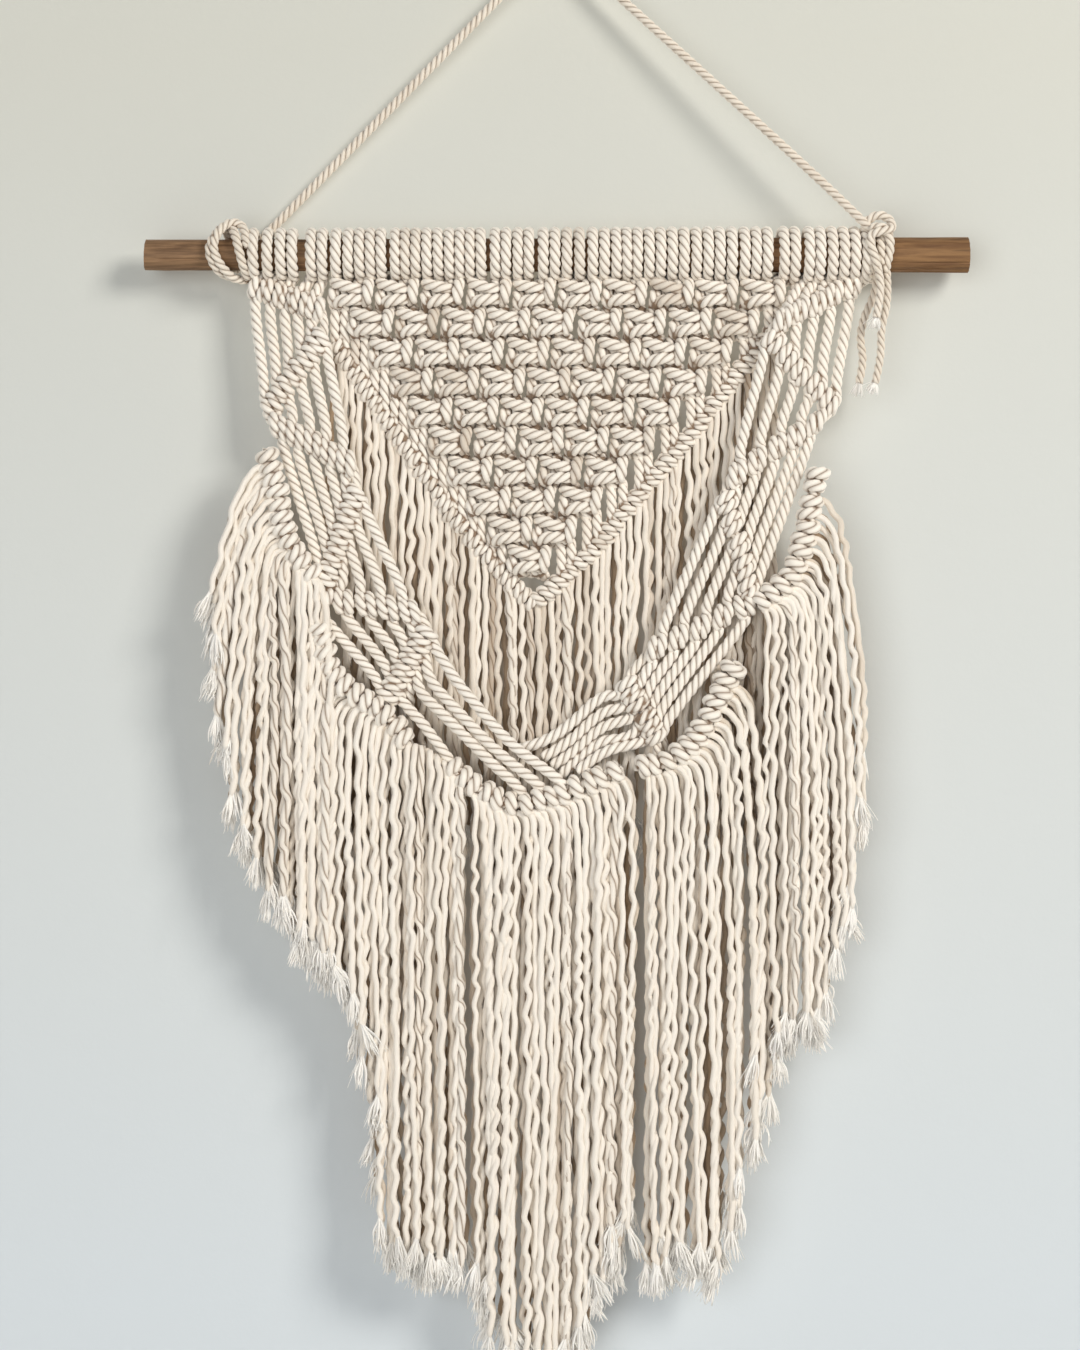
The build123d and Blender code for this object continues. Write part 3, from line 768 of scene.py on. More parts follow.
def knot_routes(x, depth, random, last=False):
    """The four cords of one square knot."""
    nudge = random.normal(0, 0.35, 3)
    lean = math.radians(random.normal(-1.5, 2.5))
    grow = random.uniform(0.96, 1.05)

    def put(points):
        """The points moved to the knot, turned a little and shaken a little."""
        made = []
        for px, fwd, up in points:
            middle = 1 - min(1, abs(up) / HALF_KNOT) ** 3
            px = px * (1 + (grow - 1) * middle)
            qx = px * math.cos(lean * middle) - up * math.sin(lean * middle)
            qz = px * math.sin(lean * middle) + up * math.cos(lean * middle)
            shake = random.normal(0, SHAKE, 3) * middle
            made.append(at(x + qx + (nudge[0] + shake[0]) * middle, depth - qz + shake[1],
                           PANEL_FORWARD + fwd * grow + nudge[2] * middle + shake[2]))
        return made

    routes = [put(LEFT_CORD), put(RIGHT_CORD)]
    tail = LAST_FOOT if last else HALF_KNOT
    for core in (-CORE_SIDE, CORE_SIDE):
        routes.append(put([(core, 0.0, HALF_KNOT), (core * 0.9, 0.6, 5.0), (core * 0.8, 1.6, 0.0),
                           (core * 0.9, 0.6, -5.0), (core, 0.0, -tail)]))
    return routes


row_skeins = []
for row in range(KNOT_ROWS):
    random = np.random.default_rng(60 + row)
    routes = [route for x, depth in row_places(row)
              for route in knot_routes(x, depth, random, row == KNOT_ROWS - 1)]
    skein = Skein(60 + row)
    skein.lay_cords(routes, KNOT_CORD_R, tone=0.45)
    row_skeins.append(skein)
for row, skein in enumerate(row_skeins):
    skein.press(*row_skeins[max(0, row - 1):row], *row_skeins[row + 1:row + 2])
    knots = skein.make(f"square_knots_row_{row + 1:02d}_cords", cord_cotton)
    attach(knots, "back_panel")
    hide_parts(f"square_knots_row_{row + 1:02d}")

# %% [markdown]
# ## Slanting edges
# Down each slanting side of the panel one cord carries a row of tight little hitches, tied by
# the cords that leave the knots. They show as a line of narrow bumps.

# %% Edge hitches
EDGES = {
    "edge_hitches_left": [(-121, 52), (-100, 84), (-76, 118), (-52, 152), (-33, 174),
                          (-14, 193)],
    "edge_hitches_right": [(123, 40), (103, 62), (76, 98), (50, 128), (24, 160), (2, 182),
                           (-10, 191)],
}
BUMP_PITCH = 5.0
BUMP_R = 3.0
BUMP_CORD_R = 2.75
FREE_CORD_R = 3.0
TO_ROOM = np.array((0.0, -1.0, 0.0))


def ring_route(centre, axis, radius, start, stop, slip):
    """A loop round an axis, slipping along it; 0 degrees is in front."""
    axis = np.asarray(axis) / np.linalg.norm(axis)
    across = np.cross(axis, TO_ROOM)
    across /= np.linalg.norm(across)
    front = np.cross(across, axis)
    count = max(4, int(round(abs(stop - start) / TURN_STEP)))
    points = []
    for i in range(count + 1):
        share = i / count
        a = math.radians(start + (stop - start) * share)
        r = radius / CUTS_INSIDE
        points.append(np.asarray(centre) + axis * slip * (share - 0.5)
                      + front * r * math.cos(a) + across * r * math.sin(a))
    return points


for number, (name, places) in enumerate(EDGES.items()):
    random = np.random.default_rng(80 + number)
    line = smooth_lines([[at(x, d, PANEL_FORWARD) for x, d in places]], 16)[0]
    beads, _ = evenly(line, BUMP_PITCH * MM)
    ways = np.gradient(beads, axis=0)
    routes = [[tuple(p) for p in line[::6]]]
    for bead, way in zip(beads, ways):
        way = way / np.linalg.norm(way) + random.normal(0, 0.10, 3)
        shift = random.normal(0, 0.35, 3) * MM
        routes.append(ring_route(bead + shift, way, (BUMP_R + random.uniform(0, 0.7)) * MM,
                                 -200, 200, 3.0 * MM))
    side = 1 if number else -1
    free = []
    for row in range(9):
        x, depth = row_places(row)[-1 if number else 0]
        for step in (8.9, 3.9):
            fall_x = x + side * (step + random.normal(0, 0.3))
            foot = float(np.interp(fall_x * side, *zip(*sorted(
                (px * side, pd) for px, pd in places))))
            drop = foot - depth - 7
            if drop > 4:
                free.append([at(fall_x, depth + 5, -1), at(fall_x, depth + 9, 2.5),
                             at(fall_x + side * 0.6, depth + 7 + drop / 2, 3),
                             at(fall_x, foot - 3, 2.5), at(fall_x, foot + 1, 0)])
    skein = Skein(80 + number)
    skein.lay_cords(free, FREE_CORD_R, tone=0.45)
    skein.lay_cords(routes, BUMP_CORD_R)
    skein.press()
    edge = skein.make(f"{name}_cords", cord_cotton)
    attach(edge, "back_panel")
    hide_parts(name)

# %% [markdown]
# ## The nets of the swag
# On each side six cords come down from the dowel. One of them zigzags across the others and
# the other five are hitched over it, twice each, at every crossing. Each cord is one
# unbroken rope from its first hitch to its end, with the loops of its hitches on its route.

# %% The nets' rows and tails
NETS = {
    "left": dict(
        side=-1, turns=LEFT_TURNS,
        rows=[[(-165, 19, 2), (-134, 30, 4)], [(-158, 84, 6), (-131, 49, 8)],
              [(-153, 96, 10), (-116, 116, 14)], [(-126, 178, 14), (-111, 135, 14)],
              [(-129, 191, 14), (-81, 198, 14)], [(-91, 242, 14), (-73, 212, 14)]],
        tails={5: [(-64, 223, 17), (-54, 238, 19), (-43, 251, 20), (-31, 265, 20),
                   (-20, 275, 20), (-6, 285, 20), (2, 291, 19), (5, 296, 15)],
               4: [(-70, 236, 17), (-59, 248, 19), (-48, 259.5, 20), (-37, 271, 20),
                   (-23, 283, 20), (-12, 291, 20), (-7, 297, 15)],
               3: [(-76, 242, 17), (-65, 252, 19), (-54, 263, 20), (-43, 274, 20),
                   (-33, 284, 20), (-22, 293, 19), (-18, 299, 15)],
               1: [(-82, 251, 15), (-74, 259, 17), (-69, 266, 17), (-62, 275, 16),
                   (-55, 286, 15)]}),
    "right": dict(
        side=1, turns=RIGHT_TURNS,
        rows=[[(163, 18, 2), (124, 38, 13)], [(150, 83, 8), (119, 50, 13)],
              [(143, 94, 10), (99, 122, 14)], [(106, 186, 14), (93, 138, 14)],
              [(103, 195, 14), (55, 218, 14)], [(53, 265, 14), (40, 240, 14)]],
        tails={5: [(24, 244, 13), (7, 261, 13), (-9, 271, 13), (-20, 273.5, 12)],
               4: [(24, 253, 13), (7, 270.5, 13), (-8, 278.5, 12)],
               3: [(24, 261, 13), (9, 276, 13), (-3, 283, 12)],
               2: [(38, 268, 13), (24, 269, 13), (12, 279, 13), (2, 288, 12)],
               1: [(42, 271, 15), (24, 275, 16), (11, 286, 15)]}),
}
HITCH_LOOP_R = 3.5
HITCH_STRETCH = 1.3
FOLLOW = 0.65
CARRIER_INSET = 3.0
CARRIER_R = 2.6
HITCH_SLIP = 3.1
HITCH_REACH = 7.0
STRAIGHT_CORD_R = 3.2


def hitch_places(row):
    """The five hitches of one row from the outside in, and the row's direction."""
    outer, inner = np.array(at(*row[0])), np.array(at(*row[1]))
    places = [outer + (inner - outer) * k / 4 for k in range(5)]
    return places, (inner - outer) / np.linalg.norm(inner - outer)


def hitch_loops(place, along, came_from, random):
    """Two loops over the carrying cord: in from one side, out at the other."""
    across = np.cross(along, TO_ROOM)
    across /= np.linalg.norm(across)
    if np.dot(across, came_from - place) < 0:
        across = -across
    travel = (came_from - place) * (1, 0, 1)
    across = across * (1 - FOLLOW) + travel / np.linalg.norm(travel) * FOLLOW
    across /= np.linalg.norm(across)
    wobble = random.normal(0, 0.3, 3) * MM
    points = []
    for i in range(13):
        a = math.radians(90 - TURN_STEP * i)
        share = (i - 2) / 8
        slip = HITCH_SLIP * (2 * min(1, max(0, share)) - 1)
        r = HITCH_LOOP_R / CUTS_INSIDE
        points.append(place + wobble + along * slip * MM
                      + TO_ROOM * r * math.cos(a) * MM
                      + across * r * HITCH_STRETCH * math.sin(a) * MM)
    return points, across


def net_route(net, number, random):
    """One cord of a net from its turn on the dowel, through six rows, to its tail."""
    x = net["turns"][5 - number]
    start = np.array(at(x, dowel_radius(x) + 2.5, -3.5))
    route = [start]
    for row in net["rows"]:
        places, along = hitch_places(row)
        place = places[number - 1]
        loops, across = hitch_loops(place, along, route[-1], random)
        arrive = place + across * HITCH_REACH * MM
        route.append(toward(arrive, route[-1], 5 * MM))
        route.extend(loops)
        route.append(place - across * HITCH_REACH * MM)
    tail = [np.array(at(*p)) for p in net["tails"].get(number, [])]
    if not tail:
        tail = [route[-1] + np.array((0, 0.004, -0.006)),
                route[-1] + np.array((0, 0.006, -0.016))]
    return route + tail


def carrier_route(net):
    """The zigzag cord that every row is hitched over."""
    x = net["turns"][5] - net["side"] * CARRIER_INSET
    route = [np.array(at(x, dowel_radius(x) + 2.5, -3.5))]
    for i, row in enumerate(net["rows"]):
        ends = [np.array(at(*row[0])), np.array(at(*row[1]))]
        if i == 0:
            ends[0] = ends[0] - np.array((net["side"] * CARRIER_INSET * MM, 0, 0))
        if i % 2:
            ends.reverse()
        out = (ends[1] - ends[0]) / np.linalg.norm(ends[1] - ends[0])
        route += [ends[0] - out * 5 * MM, ends[0], (ends[0] + ends[1]) / 2, ends[1],
                  ends[1] + out * 5 * MM]
    route.append(route[-1] + np.array((0, 0.003, -0.012)))
    return route


# %% Lark's heads, cords and carriers of the nets
for number, (name, net) in enumerate(NETS.items()):
    random = np.random.default_rng(100 + number)
    first, _ = hitch_places(net["rows"][0])
    turns = net["turns"]
    feet = [first[4 - k] + np.array((0, 0, 2 * MM)) for k in range(5)]
    feet.append(np.array(at(*net["rows"][0][0])) + np.array((net["side"] * 3 * MM, 0, 0)))
    routes = [lark_head(turns[i], turns[i + 1], feet[i], feet[i + 1], random)
              for i in (0, 2, 4)]
    skein = Skein(100 + number)
    skein.lay_cords(routes, TURN_CORD_R)
    skein.press()
    heads = skein.make(f"larks_heads_{name}_cords", cord_cotton)
    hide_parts(f"larks_heads_{name}")
    made = [heads]
    cord_skeins = []
    for k in range(1, 6):
        skein = Skein(110 + 10 * number + k)
        skein.lay_cords([net_route(net, k, random)], STRAIGHT_CORD_R, tone=0.4)
        cord_skeins.append(skein)
    for k, skein in enumerate(cord_skeins, 1):
        skein.press(*cord_skeins[:k - 1], *cord_skeins[k:])
        cord = skein.make(f"net_{name}_cord_{k}_rope", cord_cotton)
        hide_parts(f"net_{name}_cord_{k}")
        made.append(cord)
    skein = Skein(130 + number)
    skein.lay_cords([carrier_route(net)], CARRIER_R, tone=0.45)
    carrier = skein.make(f"net_{name}_carrier_rope", cord_cotton)
    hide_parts(*[f"net_{name}_row_{i + 1}" for i in range(6)])
    made.append(carrier)
    for piece in made:
        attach(piece, "front_swag")

# %% [markdown]
# ## The scallops
# Below the nets five curved chains carry the front fringe. Each is a cord with thick wraps
# side by side round it, so a loop of cord is laid round the chain at every wrap.

# %% The scallops
SCALLOP_FORWARD = 17.0
SCALLOPS = {
    "scallop_outer_left": [(-160, 113), (-155, 126), (-152.5, 141), (-150, 154), (-145, 166),
                           (-135, 177)],
    "scallop_inner_left": [(-130, 207), (-126.5, 222), (-122, 234), (-114, 242), (-102, 249),
                           (-90, 257), (-84, 267)],
    "scallop_centre": [(-57, 284), (-48, 292), (-38, 299), (-28, 304), (-17, 303), (-6, 301),
                       (4, 298), (15, 293), (32, 286)],
    "scallop_inner_right": [(47, 283), (58, 282), (69, 276), (79, 266), (85, 253), (89, 242),
                            (97, 230)],
    "scallop_outer_right": [(112, 193), (122, 186), (130, 177), (135, 164), (138, 151),
                            (140, 138), (143, 123)],
}
WRAP_PITCH = 7.3
WRAP_R = 3.8
WRAP_CORD_R = 3.7
WRAP_TWIST = 18.0
for number, (name, places) in enumerate(SCALLOPS.items()):
    random = np.random.default_rng(140 + number)
    line = smooth_lines([[at(x, d, SCALLOP_FORWARD) for x, d in places]], 16)[0]
    beads, _ = evenly(line, WRAP_PITCH * MM)
    ways = np.gradient(beads, axis=0)
    routes = [[tuple(p) for p in line[::6]] + [tuple(line[-1])]]
    for bead, way in zip(beads, ways):
        way = way / np.linalg.norm(way) + random.normal(0, 0.09, 3)
        shift = random.normal(0, 0.5, 3) * MM
        size = WRAP_R + random.normal(0, 0.3)
        routes.append(ring_route(bead + shift, way, size * MM, -215, 215, 2.5 * MM))
    skein = Skein(140 + number)
    skein.lay_cords(routes, WRAP_CORD_R, twist=WRAP_TWIST, tone=0.35)
    skein.press()
    scallop = skein.make(f"{name}_cords", cord_cotton)
    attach(scallop, "front_swag")
    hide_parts(name)

# %% [markdown]
# ## The fringes
# Below the scallops every cord is unravelled into its plies. A ply keeps the memory of its
# twist, so it hangs in small waves about one twist long, and its cut end opens into a white
# brush. Each ply gets a guide line from its wrap down to its end, waves are added to the
# guide, and a soft round section is swept along it.

# %% Strands of the fringe
STRAND_R = 1.75
WRAP_REACH = 10.0
SPREAD_DROP = 110.0
STRAND_STEP = 2.1
STRAND_TWIST = 30.0
STRAND_TIP = 0.45
LAID_SHARE = 0.08
LAID_WIDTH = 1.45
LAID_TWIST = 36.0
TUFT_LENGTH = 15.0
TUFT_SPREAD = 3.7
TUFT_YARN_R = 0.62


def along_line(points, x):
    """The depth of a line of (x, depth) points at x."""
    xs, depths = zip(*sorted(points))
    return float(np.interp(x, xs, depths))


def waved(line, random, height, calm):
    """A guide line with the waves of an unravelled ply added to it."""
    line, along = evenly(line, STRAND_STEP * MM)
    count = len(line)
    knots = max(4, int(along[-1] / (22 * MM)))
    places = np.linspace(0, along[-1], knots)
    pitch = np.interp(along, places, random.uniform(10.0, 25.0, knots)) * MM
    phase = random.uniform(0, 6.28) + np.concatenate(
        [[0], np.cumsum(2 * math.pi * np.diff(along) / pitch[1:])])
    size = np.interp(along, places, random.uniform(0.1, 1.15, knots)) * height * MM
    size = size * np.clip(along / (calm * MM), 0, 1)
    drift = np.interp(along, places, np.cumsum(random.normal(0, 0.7, knots))) * MM
    drift *= np.clip(along / (30 * MM), 0, 1)
    sway = np.interp(along, places, random.normal(0, 0.5, knots)) * MM
    bent = phase + 0.45 * np.sin(phase)
    made = line.copy()
    made[:, 0] += size * np.sin(bent) + drift
    made[:, 1] += size * 0.75 * np.cos(bent) + sway
    return made


def hang(anchor, column, end, forward, start_forward):
    """A strand's guide: out of its wrap, then down while it spreads to its column."""
    ax, ad = anchor
    dx = column - ax
    near = math.copysign(min(abs(dx), WRAP_REACH), dx)
    bend = 4 + 0.4 * abs(near)
    route = [(ax, ad, start_forward), (ax + 0.55 * near, ad + 0.5, start_forward + 0.5),
             (ax + 0.95 * near, ad + bend, (forward + start_forward) / 2)]
    end = max(end, ad + bend + 26)
    steps = max(3, int((end - ad) / 35))
    for i in range(steps):
        depth = ad + bend + 8 + (end - ad - bend - 8) * i / (steps - 1)
        spread = min(1, (depth - ad) / SPREAD_DROP) ** 0.8
        route.append((ax + near + (dx - near) * spread, depth, forward))
    return [at(*p) for p in route]


def fringe(name, node, body, strands, seed, tone, yarns=16, hairs=8):
    """Makes a tier's strands and their frayed ends from guides and wave heights."""
    skein = Skein(seed)
    guides = smooth_lines([s[0] for s in strands], 6)
    lines = [waved(guide, skein.random, s[1], s[2]) for guide, s in zip(guides, strands)]
    shades = np.array([s[3] for s in strands]) + tone
    thick = skein.random.uniform(0.85, 1.15, len(lines)) * STRAND_R * MM
    laid = skein.random.uniform(0, 1, len(lines)) < LAID_SHARE
    plies = [line for line, is_laid in zip(lines, laid) if not is_laid]
    cords = [line for line, is_laid in zip(lines, laid) if is_laid]
    skein.sweep(plies, thick[~laid], STRAND_TWIST * MM, STRAND_SECTION, STRAND_STEP * MM,
                tone=shades[~laid], thin=5 * MM, tip=STRAND_TIP)
    if cords:
        skein.sweep(cords, thick[laid] * LAID_WIDTH, LAID_TWIST * MM, LOOSE_SECTION,
                    STRAND_STEP * MM, tone=shades[laid], thin=6 * MM, tip=STRAND_TIP)
    piece = skein.make(f"{name}_strands", fringe_cotton)
    tufts = Skein(seed + 1)
    brush(tufts, [(line[-1], line[-1] - line[-3]) for line in lines], yarns, TUFT_LENGTH * MM,
          TUFT_SPREAD * MM, TUFT_YARN_R * MM, hairs=hairs)
    ends = tufts.make(f"{name}_tufts", tuft_cotton)
    for made in (piece, ends):
        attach(made, body)
        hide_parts(node)


# %% The front fringe's five tiers
# Each layer gives how far forward its strands hang and a number added to their tone; the back
# layers' higher number is painted shade.
LAYERS = [(10.0, 0.9), (15.5, 0.3), (20.5, -0.1)]
TIERS = {
    "fringe_outer_left": dict(
        anchors=[(-160, 116), (-156, 128), (-154, 142), (-151, 155), (-146, 168), (-137, 178)],
        span=(-160, -137), columns=(-197, -122),
        ends=[(-198, 206), (-190, 241), (-180, 297), (-176, 330), (-162, 358), (-142, 383),
              (-131, 400), (-117, 408)]),
    "fringe_inner_left": dict(
        anchors=[(-131, 210), (-127, 224), (-122, 236), (-114, 245), (-102, 252), (-90, 260),
                 (-84, 268), (-73, 270), (-62, 279), (-53, 289)],
        span=(-131, -53), columns=(-142, -49),
        ends=[(-143, 389), (-117, 413), (-101, 485), (-95, 552), (-70, 574), (-54, 571),
              (-48, 552)]),
    "fringe_centre": dict(
        anchors=[(-56, 287), (-48, 296), (-38, 302), (-28, 307), (-17, 306), (-6, 304),
                 (4, 301), (15, 296), (32, 289), (40, 286)],
        span=(-50, 38), columns=(-44, 43),
        ends=[(-43, 580), (-34, 605), (-15, 624), (2, 626), (13, 607), (24, 574), (43, 545)]),
    "fringe_inner_right": dict(
        anchors=[(47, 286), (58, 285), (69, 279), (80, 269), (87, 256), (91, 245), (98, 233)],
        span=(49, 98), columns=(50, 117),
        ends=[(46, 569), (63, 566), (88, 577), (96, 545), (110, 499), (118, 470)]),
    "fringe_outer_right": dict(
        anchors=[(112, 196), (122, 189), (131, 180), (137, 166), (140, 152), (142, 139),
                 (144, 126)],
        span=(113, 144), columns=(116, 172),
        ends=[(113, 480), (124, 441), (146, 438), (153, 397), (163, 374), (166, 324),
              (174, 262)]),
}
STRAND_PITCH = 3.95
FRONT_WAVE = 1.35
FRONT_CALM = 16
for number, (name, tier) in enumerate(TIERS.items()):
    random = np.random.default_rng(200 + number)
    low, high = tier["columns"]
    count = int((high - low) / STRAND_PITCH)
    strands = []
    for layer, (forward, shade) in enumerate(LAYERS):
        for k in range(count):
            share = (k + 0.5 * (layer % 2) + random.uniform(-0.25, 0.25)) / count
            share = min(1, max(0, share))
            column = low + (high - low) * share
            ax = tier["span"][0] + (tier["span"][1] - tier["span"][0]) * share
            anchor = (ax, along_line(tier["anchors"], ax) + 2)
            cord = int(share * count / 3)
            cut = np.random.default_rng(cord * 7 + layer * 31 + number).uniform(-2, 14)
            end = along_line(tier["ends"], column) - 9 - cut - random.uniform(0, 6)
            fwd = forward + random.normal(0, 1.0)
            strands.append((hang(anchor, column, end, fwd, SCALLOP_FORWARD - 3 + layer * 2),
                            FRONT_WAVE, FRONT_CALM, shade))
    fringe(name, name, "front_swag", strands, 210 + number * 3, 0.35)

# %% [markdown]
# Behind the swag the panel's own cord ends hang from its slanting edges. They hang straighter
# and closer together, in the shade of the swag, and their strands are painted darker, the back
# layer most, as painted shade.

# %% The back fringe
BACK_END = 322.0
BACK_HALF = 119.0
BACK_PITCH = 4.0
BACK_WAVE = 1.15
BACK_CALM = 25
# Each layer gives how far forward its strands hang and a number added to their tone; the back
# layer's higher number is painted shade.
BACK_LAYERS = [(-3.0, 1.0), (2.0, 0.3)]
left_edge = EDGES["edge_hitches_left"] + [(0, 184)]
right_edge = EDGES["edge_hitches_right"][::-1]
for side, name, edge in ((-1, "back_fringe_left", left_edge),
                         (1, "back_fringe_right", right_edge)):
    random = np.random.default_rng(240 + side)
    low, high = (-BACK_HALF - 4, -1.0) if side < 0 else (-1.0, BACK_HALF + 4)
    count = int((high - low) / BACK_PITCH)
    strands = []
    for layer, (forward, shade) in enumerate(BACK_LAYERS):
        for k in range(count):
            x = low + (high - low) * (k + 0.5 * layer + random.uniform(-0.2, 0.2)) / count
            top = along_line(edge, x) + 1
            end = BACK_END - random.uniform(0, 12)
            route = [at(x, top, 0), at(x, top + 5, forward), at(x, top + 14, forward)]
            steps = max(2, int((end - top) / 40))
            route += [at(x, top + 14 + (end - top - 14) * (i + 1) / steps, forward)
                      for i in range(steps)]
            strands.append((route, BACK_WAVE, BACK_CALM, shade))
    fringe(name, name, "back_panel", strands, 250 + 3 * side, 0.3, yarns=7,
           hairs=4)

# %% [markdown]
# ## The dowel
# The dowel is a rough branch-like stick: a cylinder cut into many rings whose points are then
# moved a little, with long shallow cracks and saw-cut ends. It is made from a primitive and
# cut with bisect planes, and its end grain is set in with an inset.

# %% The dowel's shape
RING_GAP = 3.0
CRACK_FADE = 12
CRACK_HALF_WIDTH = 4.5
middle = Vector(((dowel_low[0] + dowel_high[0]) / 2, AXIS_Y, AXIS_Z))
dowel_length = dowel_high[0] - dowel_low[0]
bpy.ops.mesh.primitive_cylinder_add(vertices=72, radius=DOWEL_R_LEFT * MM,
                                    depth=dowel_length, end_fill_type="NGON",
                                    location=middle, rotation=(0, math.pi / 2, 0))
stick = bpy.context.object
stick.name = "dowel_stick"
bpy.ops.object.transform_apply(location=True, rotation=True, scale=True)
bpy.ops.object.mode_set(mode="EDIT")
rings = int(dowel_length / MM / RING_GAP)
for i in range(1, rings):
    bpy.ops.mesh.select_all(action="SELECT")
    x = dowel_low[0] + dowel_length * i / rings
    bpy.ops.mesh.bisect(plane_co=(x, AXIS_Y, AXIS_Z), plane_no=(1, 0, 0))
bpy.ops.mesh.select_mode(type="FACE")
bpy.ops.mesh.select_all(action="DESELECT")
bpy.ops.object.mode_set(mode="OBJECT")
for face in stick.data.polygons:
    face.select = abs(face.normal.x) > 0.9
bpy.ops.object.mode_set(mode="EDIT")
for share in range(4):
    bpy.ops.mesh.inset(thickness=1.9 * MM, depth=0)
bpy.ops.object.mode_set(mode="OBJECT")

CRACKS = [(96.0, 229.0, -62.0, 0.9), (150.0, 229.0, -35.0, 0.7), (188.0, 229.0, -80.0, 1.0),
          (-229.0, -196.0, -25.0, 0.7), (-229.0, -186.0, 20.0, 0.5), (192.0, 226.0, 18.0, 0.6)]
for vertex in stick.data.vertices:
    x = vertex.co.x / MM
    off = Vector((0, vertex.co.y - AXIS_Y, vertex.co.z - AXIS_Z))
    share = off.length / (DOWEL_R_LEFT * MM)
    if share > 1e-6:
        angle = math.degrees(math.atan2(off.z, -off.y))
        way = off.normalized()
        big = noise.noise(Vector((x * 0.018, way.y * 0.9, way.z * 0.9)))
        small = noise.noise(Vector((x * 0.06, way.y * 4.5, way.z * 4.5)) + Vector((7, 3, 1)))
        radius = dowel_radius(x) * share + big * 0.30 * share + small * 0.16 * share
        for start, stop, place, deep in CRACKS:
            if start < x < stop:
                fade = min(1, (x - start) / CRACK_FADE)
                wander = place + 5 * noise.noise(Vector((x * 0.05, place, 0)))
                inside = max(0, 1 - abs(angle - wander) / CRACK_HALF_WIDTH)
                radius -= deep * fade * share * inside
        vertex.co.y = AXIS_Y + way.y * radius * MM
        vertex.co.z = AXIS_Z + way.z * radius * MM
    end = -1 if vertex.co.x < 0 else 1
    if abs(abs(x) - dowel_length / 2 / MM) < 0.01:
        rough = noise.noise(Vector((off.y * 500, off.z * 500, end * 3)))
        slope = off.z / MM * (-0.16 if end < 0 else 0.05)
        vertex.co.x -= end * (0.9 + slope * end * 0.5 + rough * 0.35) * MM * 0.6
bpy.ops.object.select_all(action="DESELECT")
stick.select_set(True)
bpy.context.view_layer.objects.active = stick
bpy.ops.object.shade_smooth_by_angle(angle=math.radians(38))
print("dowel faces", len(stick.data.polygons))

# %% [markdown]
# Its wood is darker and greyer on the left and warm brown on the right, with grain stretched
# along the stick and dark streaks where bark clung.

# %% The dowel's wood
material, shader, place = new_material("dowel_wood_grain")
stretched = place.node("ShaderNodeMapping", Vector=place, Scale=(26.0, 420.0, 420.0))
grain = stretched.node("ShaderNodeTexNoise", Vector=stretched, Scale=1.0, Detail=6.0,
                       Roughness=0.65, Distortion=0.35)
wide = place.node("ShaderNodeMapping", Vector=place, Scale=(14.0, 130.0, 130.0))
streaks = wide.node("ShaderNodeTexNoise", Vector=wide, Scale=1.0, Detail=3.0, Roughness=0.6)
split = place.node("ShaderNodeSeparateXYZ", Vector=place)
warm = split.node("ShaderNodeMapRange", Value=split, i1=-0.23, i2=0.23)
lighter = mixed(warm, (0.30, 0.175, 0.09, 1.0), (0.28, 0.15, 0.062, 1.0))
darker = mixed(warm, (0.125, 0.068, 0.034, 1.0), (0.14, 0.065, 0.026, 1.0))
amount = grain.node("ShaderNodeMapRange", Value=grain, i1=0.36, i2=0.62)
wood = mixed(amount, darker, lighter)
marks = streaks.node("ShaderNodeMapRange", Value=streaks, i1=0.62, i2=0.72)
wood = mixed(marks * 0.75, wood, (0.05, 0.025, 0.013, 1.0))
feed(shader, "Base Color", wood)
feed(shader, "Roughness", grain * 0.25 + 0.55)
height = grain * 0.7 + streaks * 0.5
feed(shader, "Normal", height.node("ShaderNodeBump", Strength=0.55, Distance=0.0008,
                                   Height=height))
shader.inputs["Specular IOR Level"].default_value = 0.3
stick.data.materials.clear()
stick.data.materials.append(material)
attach(stick, "hanger")
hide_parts("dowel")

# %% [markdown]
# ## The nail
# The nail's CAD shape is right, so it stays and only gets a steel finish with faint drawing
# marks along the shank.

# %% The nail's steel
material, shader, place = new_material("nail_steel_drawn")
stretched = place.node("ShaderNodeMapping", Vector=place, Scale=(900.0, 60.0, 900.0))
marks = stretched.node("ShaderNodeTexNoise", Vector=stretched, Scale=1.0, Detail=4.0)
feed(shader, "Base Color", mixed(marks, (0.52, 0.52, 0.51, 1.0), (0.33, 0.33, 0.34, 1.0)))
feed(shader, "Roughness", marks * 0.3 + 0.25)
feed(shader, "Normal", marks.node("ShaderNodeBump", Strength=0.3, Distance=0.0002,
                                  Height=marks))
shader.inputs["Metallic"].default_value = 1.0
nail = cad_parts["wall_nail"]
for slot_index in range(max(1, len(nail.material_slots))):
    if nail.material_slots:
        nail.material_slots[slot_index].material = material
    else:
        nail.data.materials.append(material)

# %% [markdown]
# ## The wall, the floor and the light
# The hanging is lit softly from the upper right, so its shadow falls to the lower left on a
# pale wall. The wall is seen from the front only, so that the back of the hanging can be
# looked at too.

# %% The wall and the floor
material, shader, place = new_material("wall_paint")
height = place.node("ShaderNodeSeparateXYZ", Vector=place, output=2)
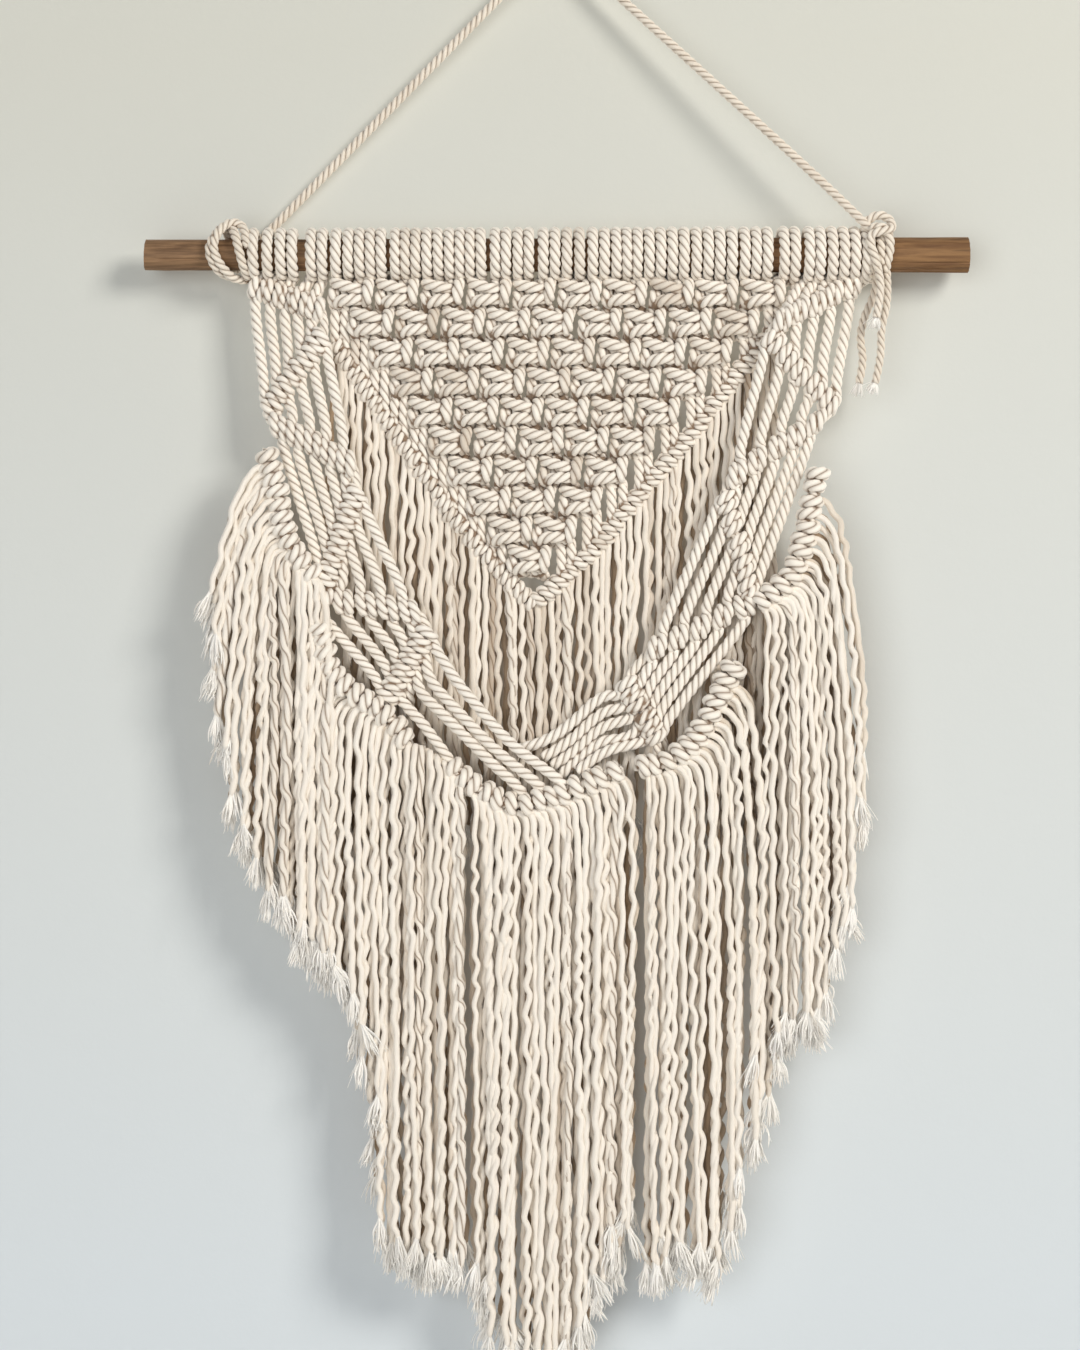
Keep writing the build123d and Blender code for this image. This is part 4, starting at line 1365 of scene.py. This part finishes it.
# The wall goes from grey-green above to a brighter blue-grey below: the change of hue is the
# wall's colour and the brightening is painted light.
lower_hue_and_painted_light = height.node("ShaderNodeMapRange", Value=height, i1=-0.75, i2=-0.05)
speckle = place.node("ShaderNodeTexNoise", Vector=place, Scale=240.0, Detail=5.0)
paint = mixed(lower_hue_and_painted_light, (0.64, 0.68, 0.70, 1.0), (0.61, 0.605, 0.54, 1.0))
feed(shader, "Base Color", paint)
feed(shader, "Normal", speckle.node("ShaderNodeBump", Strength=0.12, Distance=0.0008,
                                    Height=speckle))
shader.inputs["Roughness"].default_value = 0.7
tree = material.node_tree
facing = tree.nodes.new("ShaderNodeNewGeometry")
clear = tree.nodes.new("ShaderNodeBsdfTransparent")
choose = tree.nodes.new("ShaderNodeMixShader")
tree.links.new(facing.outputs["Backfacing"], choose.inputs[0])
tree.links.new(shader.outputs[0], choose.inputs[1])
tree.links.new(clear.outputs[0], choose.inputs[2])
tree.links.new(choose.outputs[0], tree.nodes["Material Output"].inputs["Surface"])

WALL_SIZE = 6.0
bpy.ops.mesh.primitive_plane_add(size=WALL_SIZE, location=(0, 0.0005, AXIS_Z - 0.2),
                                 rotation=(math.pi / 2, 0, 0))
wall = bpy.context.object
wall.name = "wall"
bpy.ops.object.transform_apply(location=True, rotation=True, scale=True)
wall.data.materials.append(material)
wall.visible_shadow = False
wall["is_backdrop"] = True

floor_material, shader, place = new_material("floor_pale")
cloud = place.node("ShaderNodeTexNoise", Vector=place, Scale=6.0, Detail=4.0)
feed(shader, "Base Color", mixed(cloud, (0.62, 0.61, 0.59, 1.0), (0.68, 0.67, 0.65, 1.0)))
shader.inputs["Roughness"].default_value = 0.8
bpy.ops.mesh.primitive_plane_add(size=12.0, location=(0, 0, cad_low[2] - 0.75))
floor = bpy.context.object
floor.name = "floor"
bpy.ops.object.transform_apply(location=True, rotation=True, scale=True)
floor.data.materials.append(floor_material)
floor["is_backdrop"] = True

# %% Lights
LIGHTS = [
    ("key", (1.75, -2.1, 0.75), 1.0, 57.0, (1.0, 0.975, 0.93)),
    ("fill", (-1.0, -2.8, -0.4), 2.0, 38.0, (0.96, 0.98, 1.0)),
    ("back_left", (-1.2, 1.6, 0.4), 1.6, 22.0, (1.0, 1.0, 1.0)),
    ("back_right", (1.4, 1.5, -0.6), 1.6, 16.0, (1.0, 1.0, 1.0)),
]
aim = Vector(at(0, 230, 20))
for name, place, size, power, colour in LIGHTS:
    data = bpy.data.lights.new(name, "AREA")
    data.size = size
    data.energy = power
    data.color = colour
    lamp = bpy.data.objects.new(name, data)
    lamp.location = place
    lamp.rotation_euler = (aim - Vector(place)).to_track_quat("-Z", "Y").to_euler()
    bpy.context.scene.collection.objects.link(lamp)
world = bpy.data.worlds.new("studio")
bpy.context.scene.world = world
world.use_nodes = True
world.node_tree.nodes["Background"].inputs["Color"].default_value = (0.93, 0.96, 1.0, 1.0)
world.node_tree.nodes["Background"].inputs["Strength"].default_value = 0.17
bpy.context.scene.view_settings.view_transform = "Standard"

# %% Sizes of the CAD model and of the visual pieces
low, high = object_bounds()
print("cad box", [round(v, 4) for v in (*cad_low, *cad_high)])
print("visual box", [round(v, 4) for v in (*low, *high)])
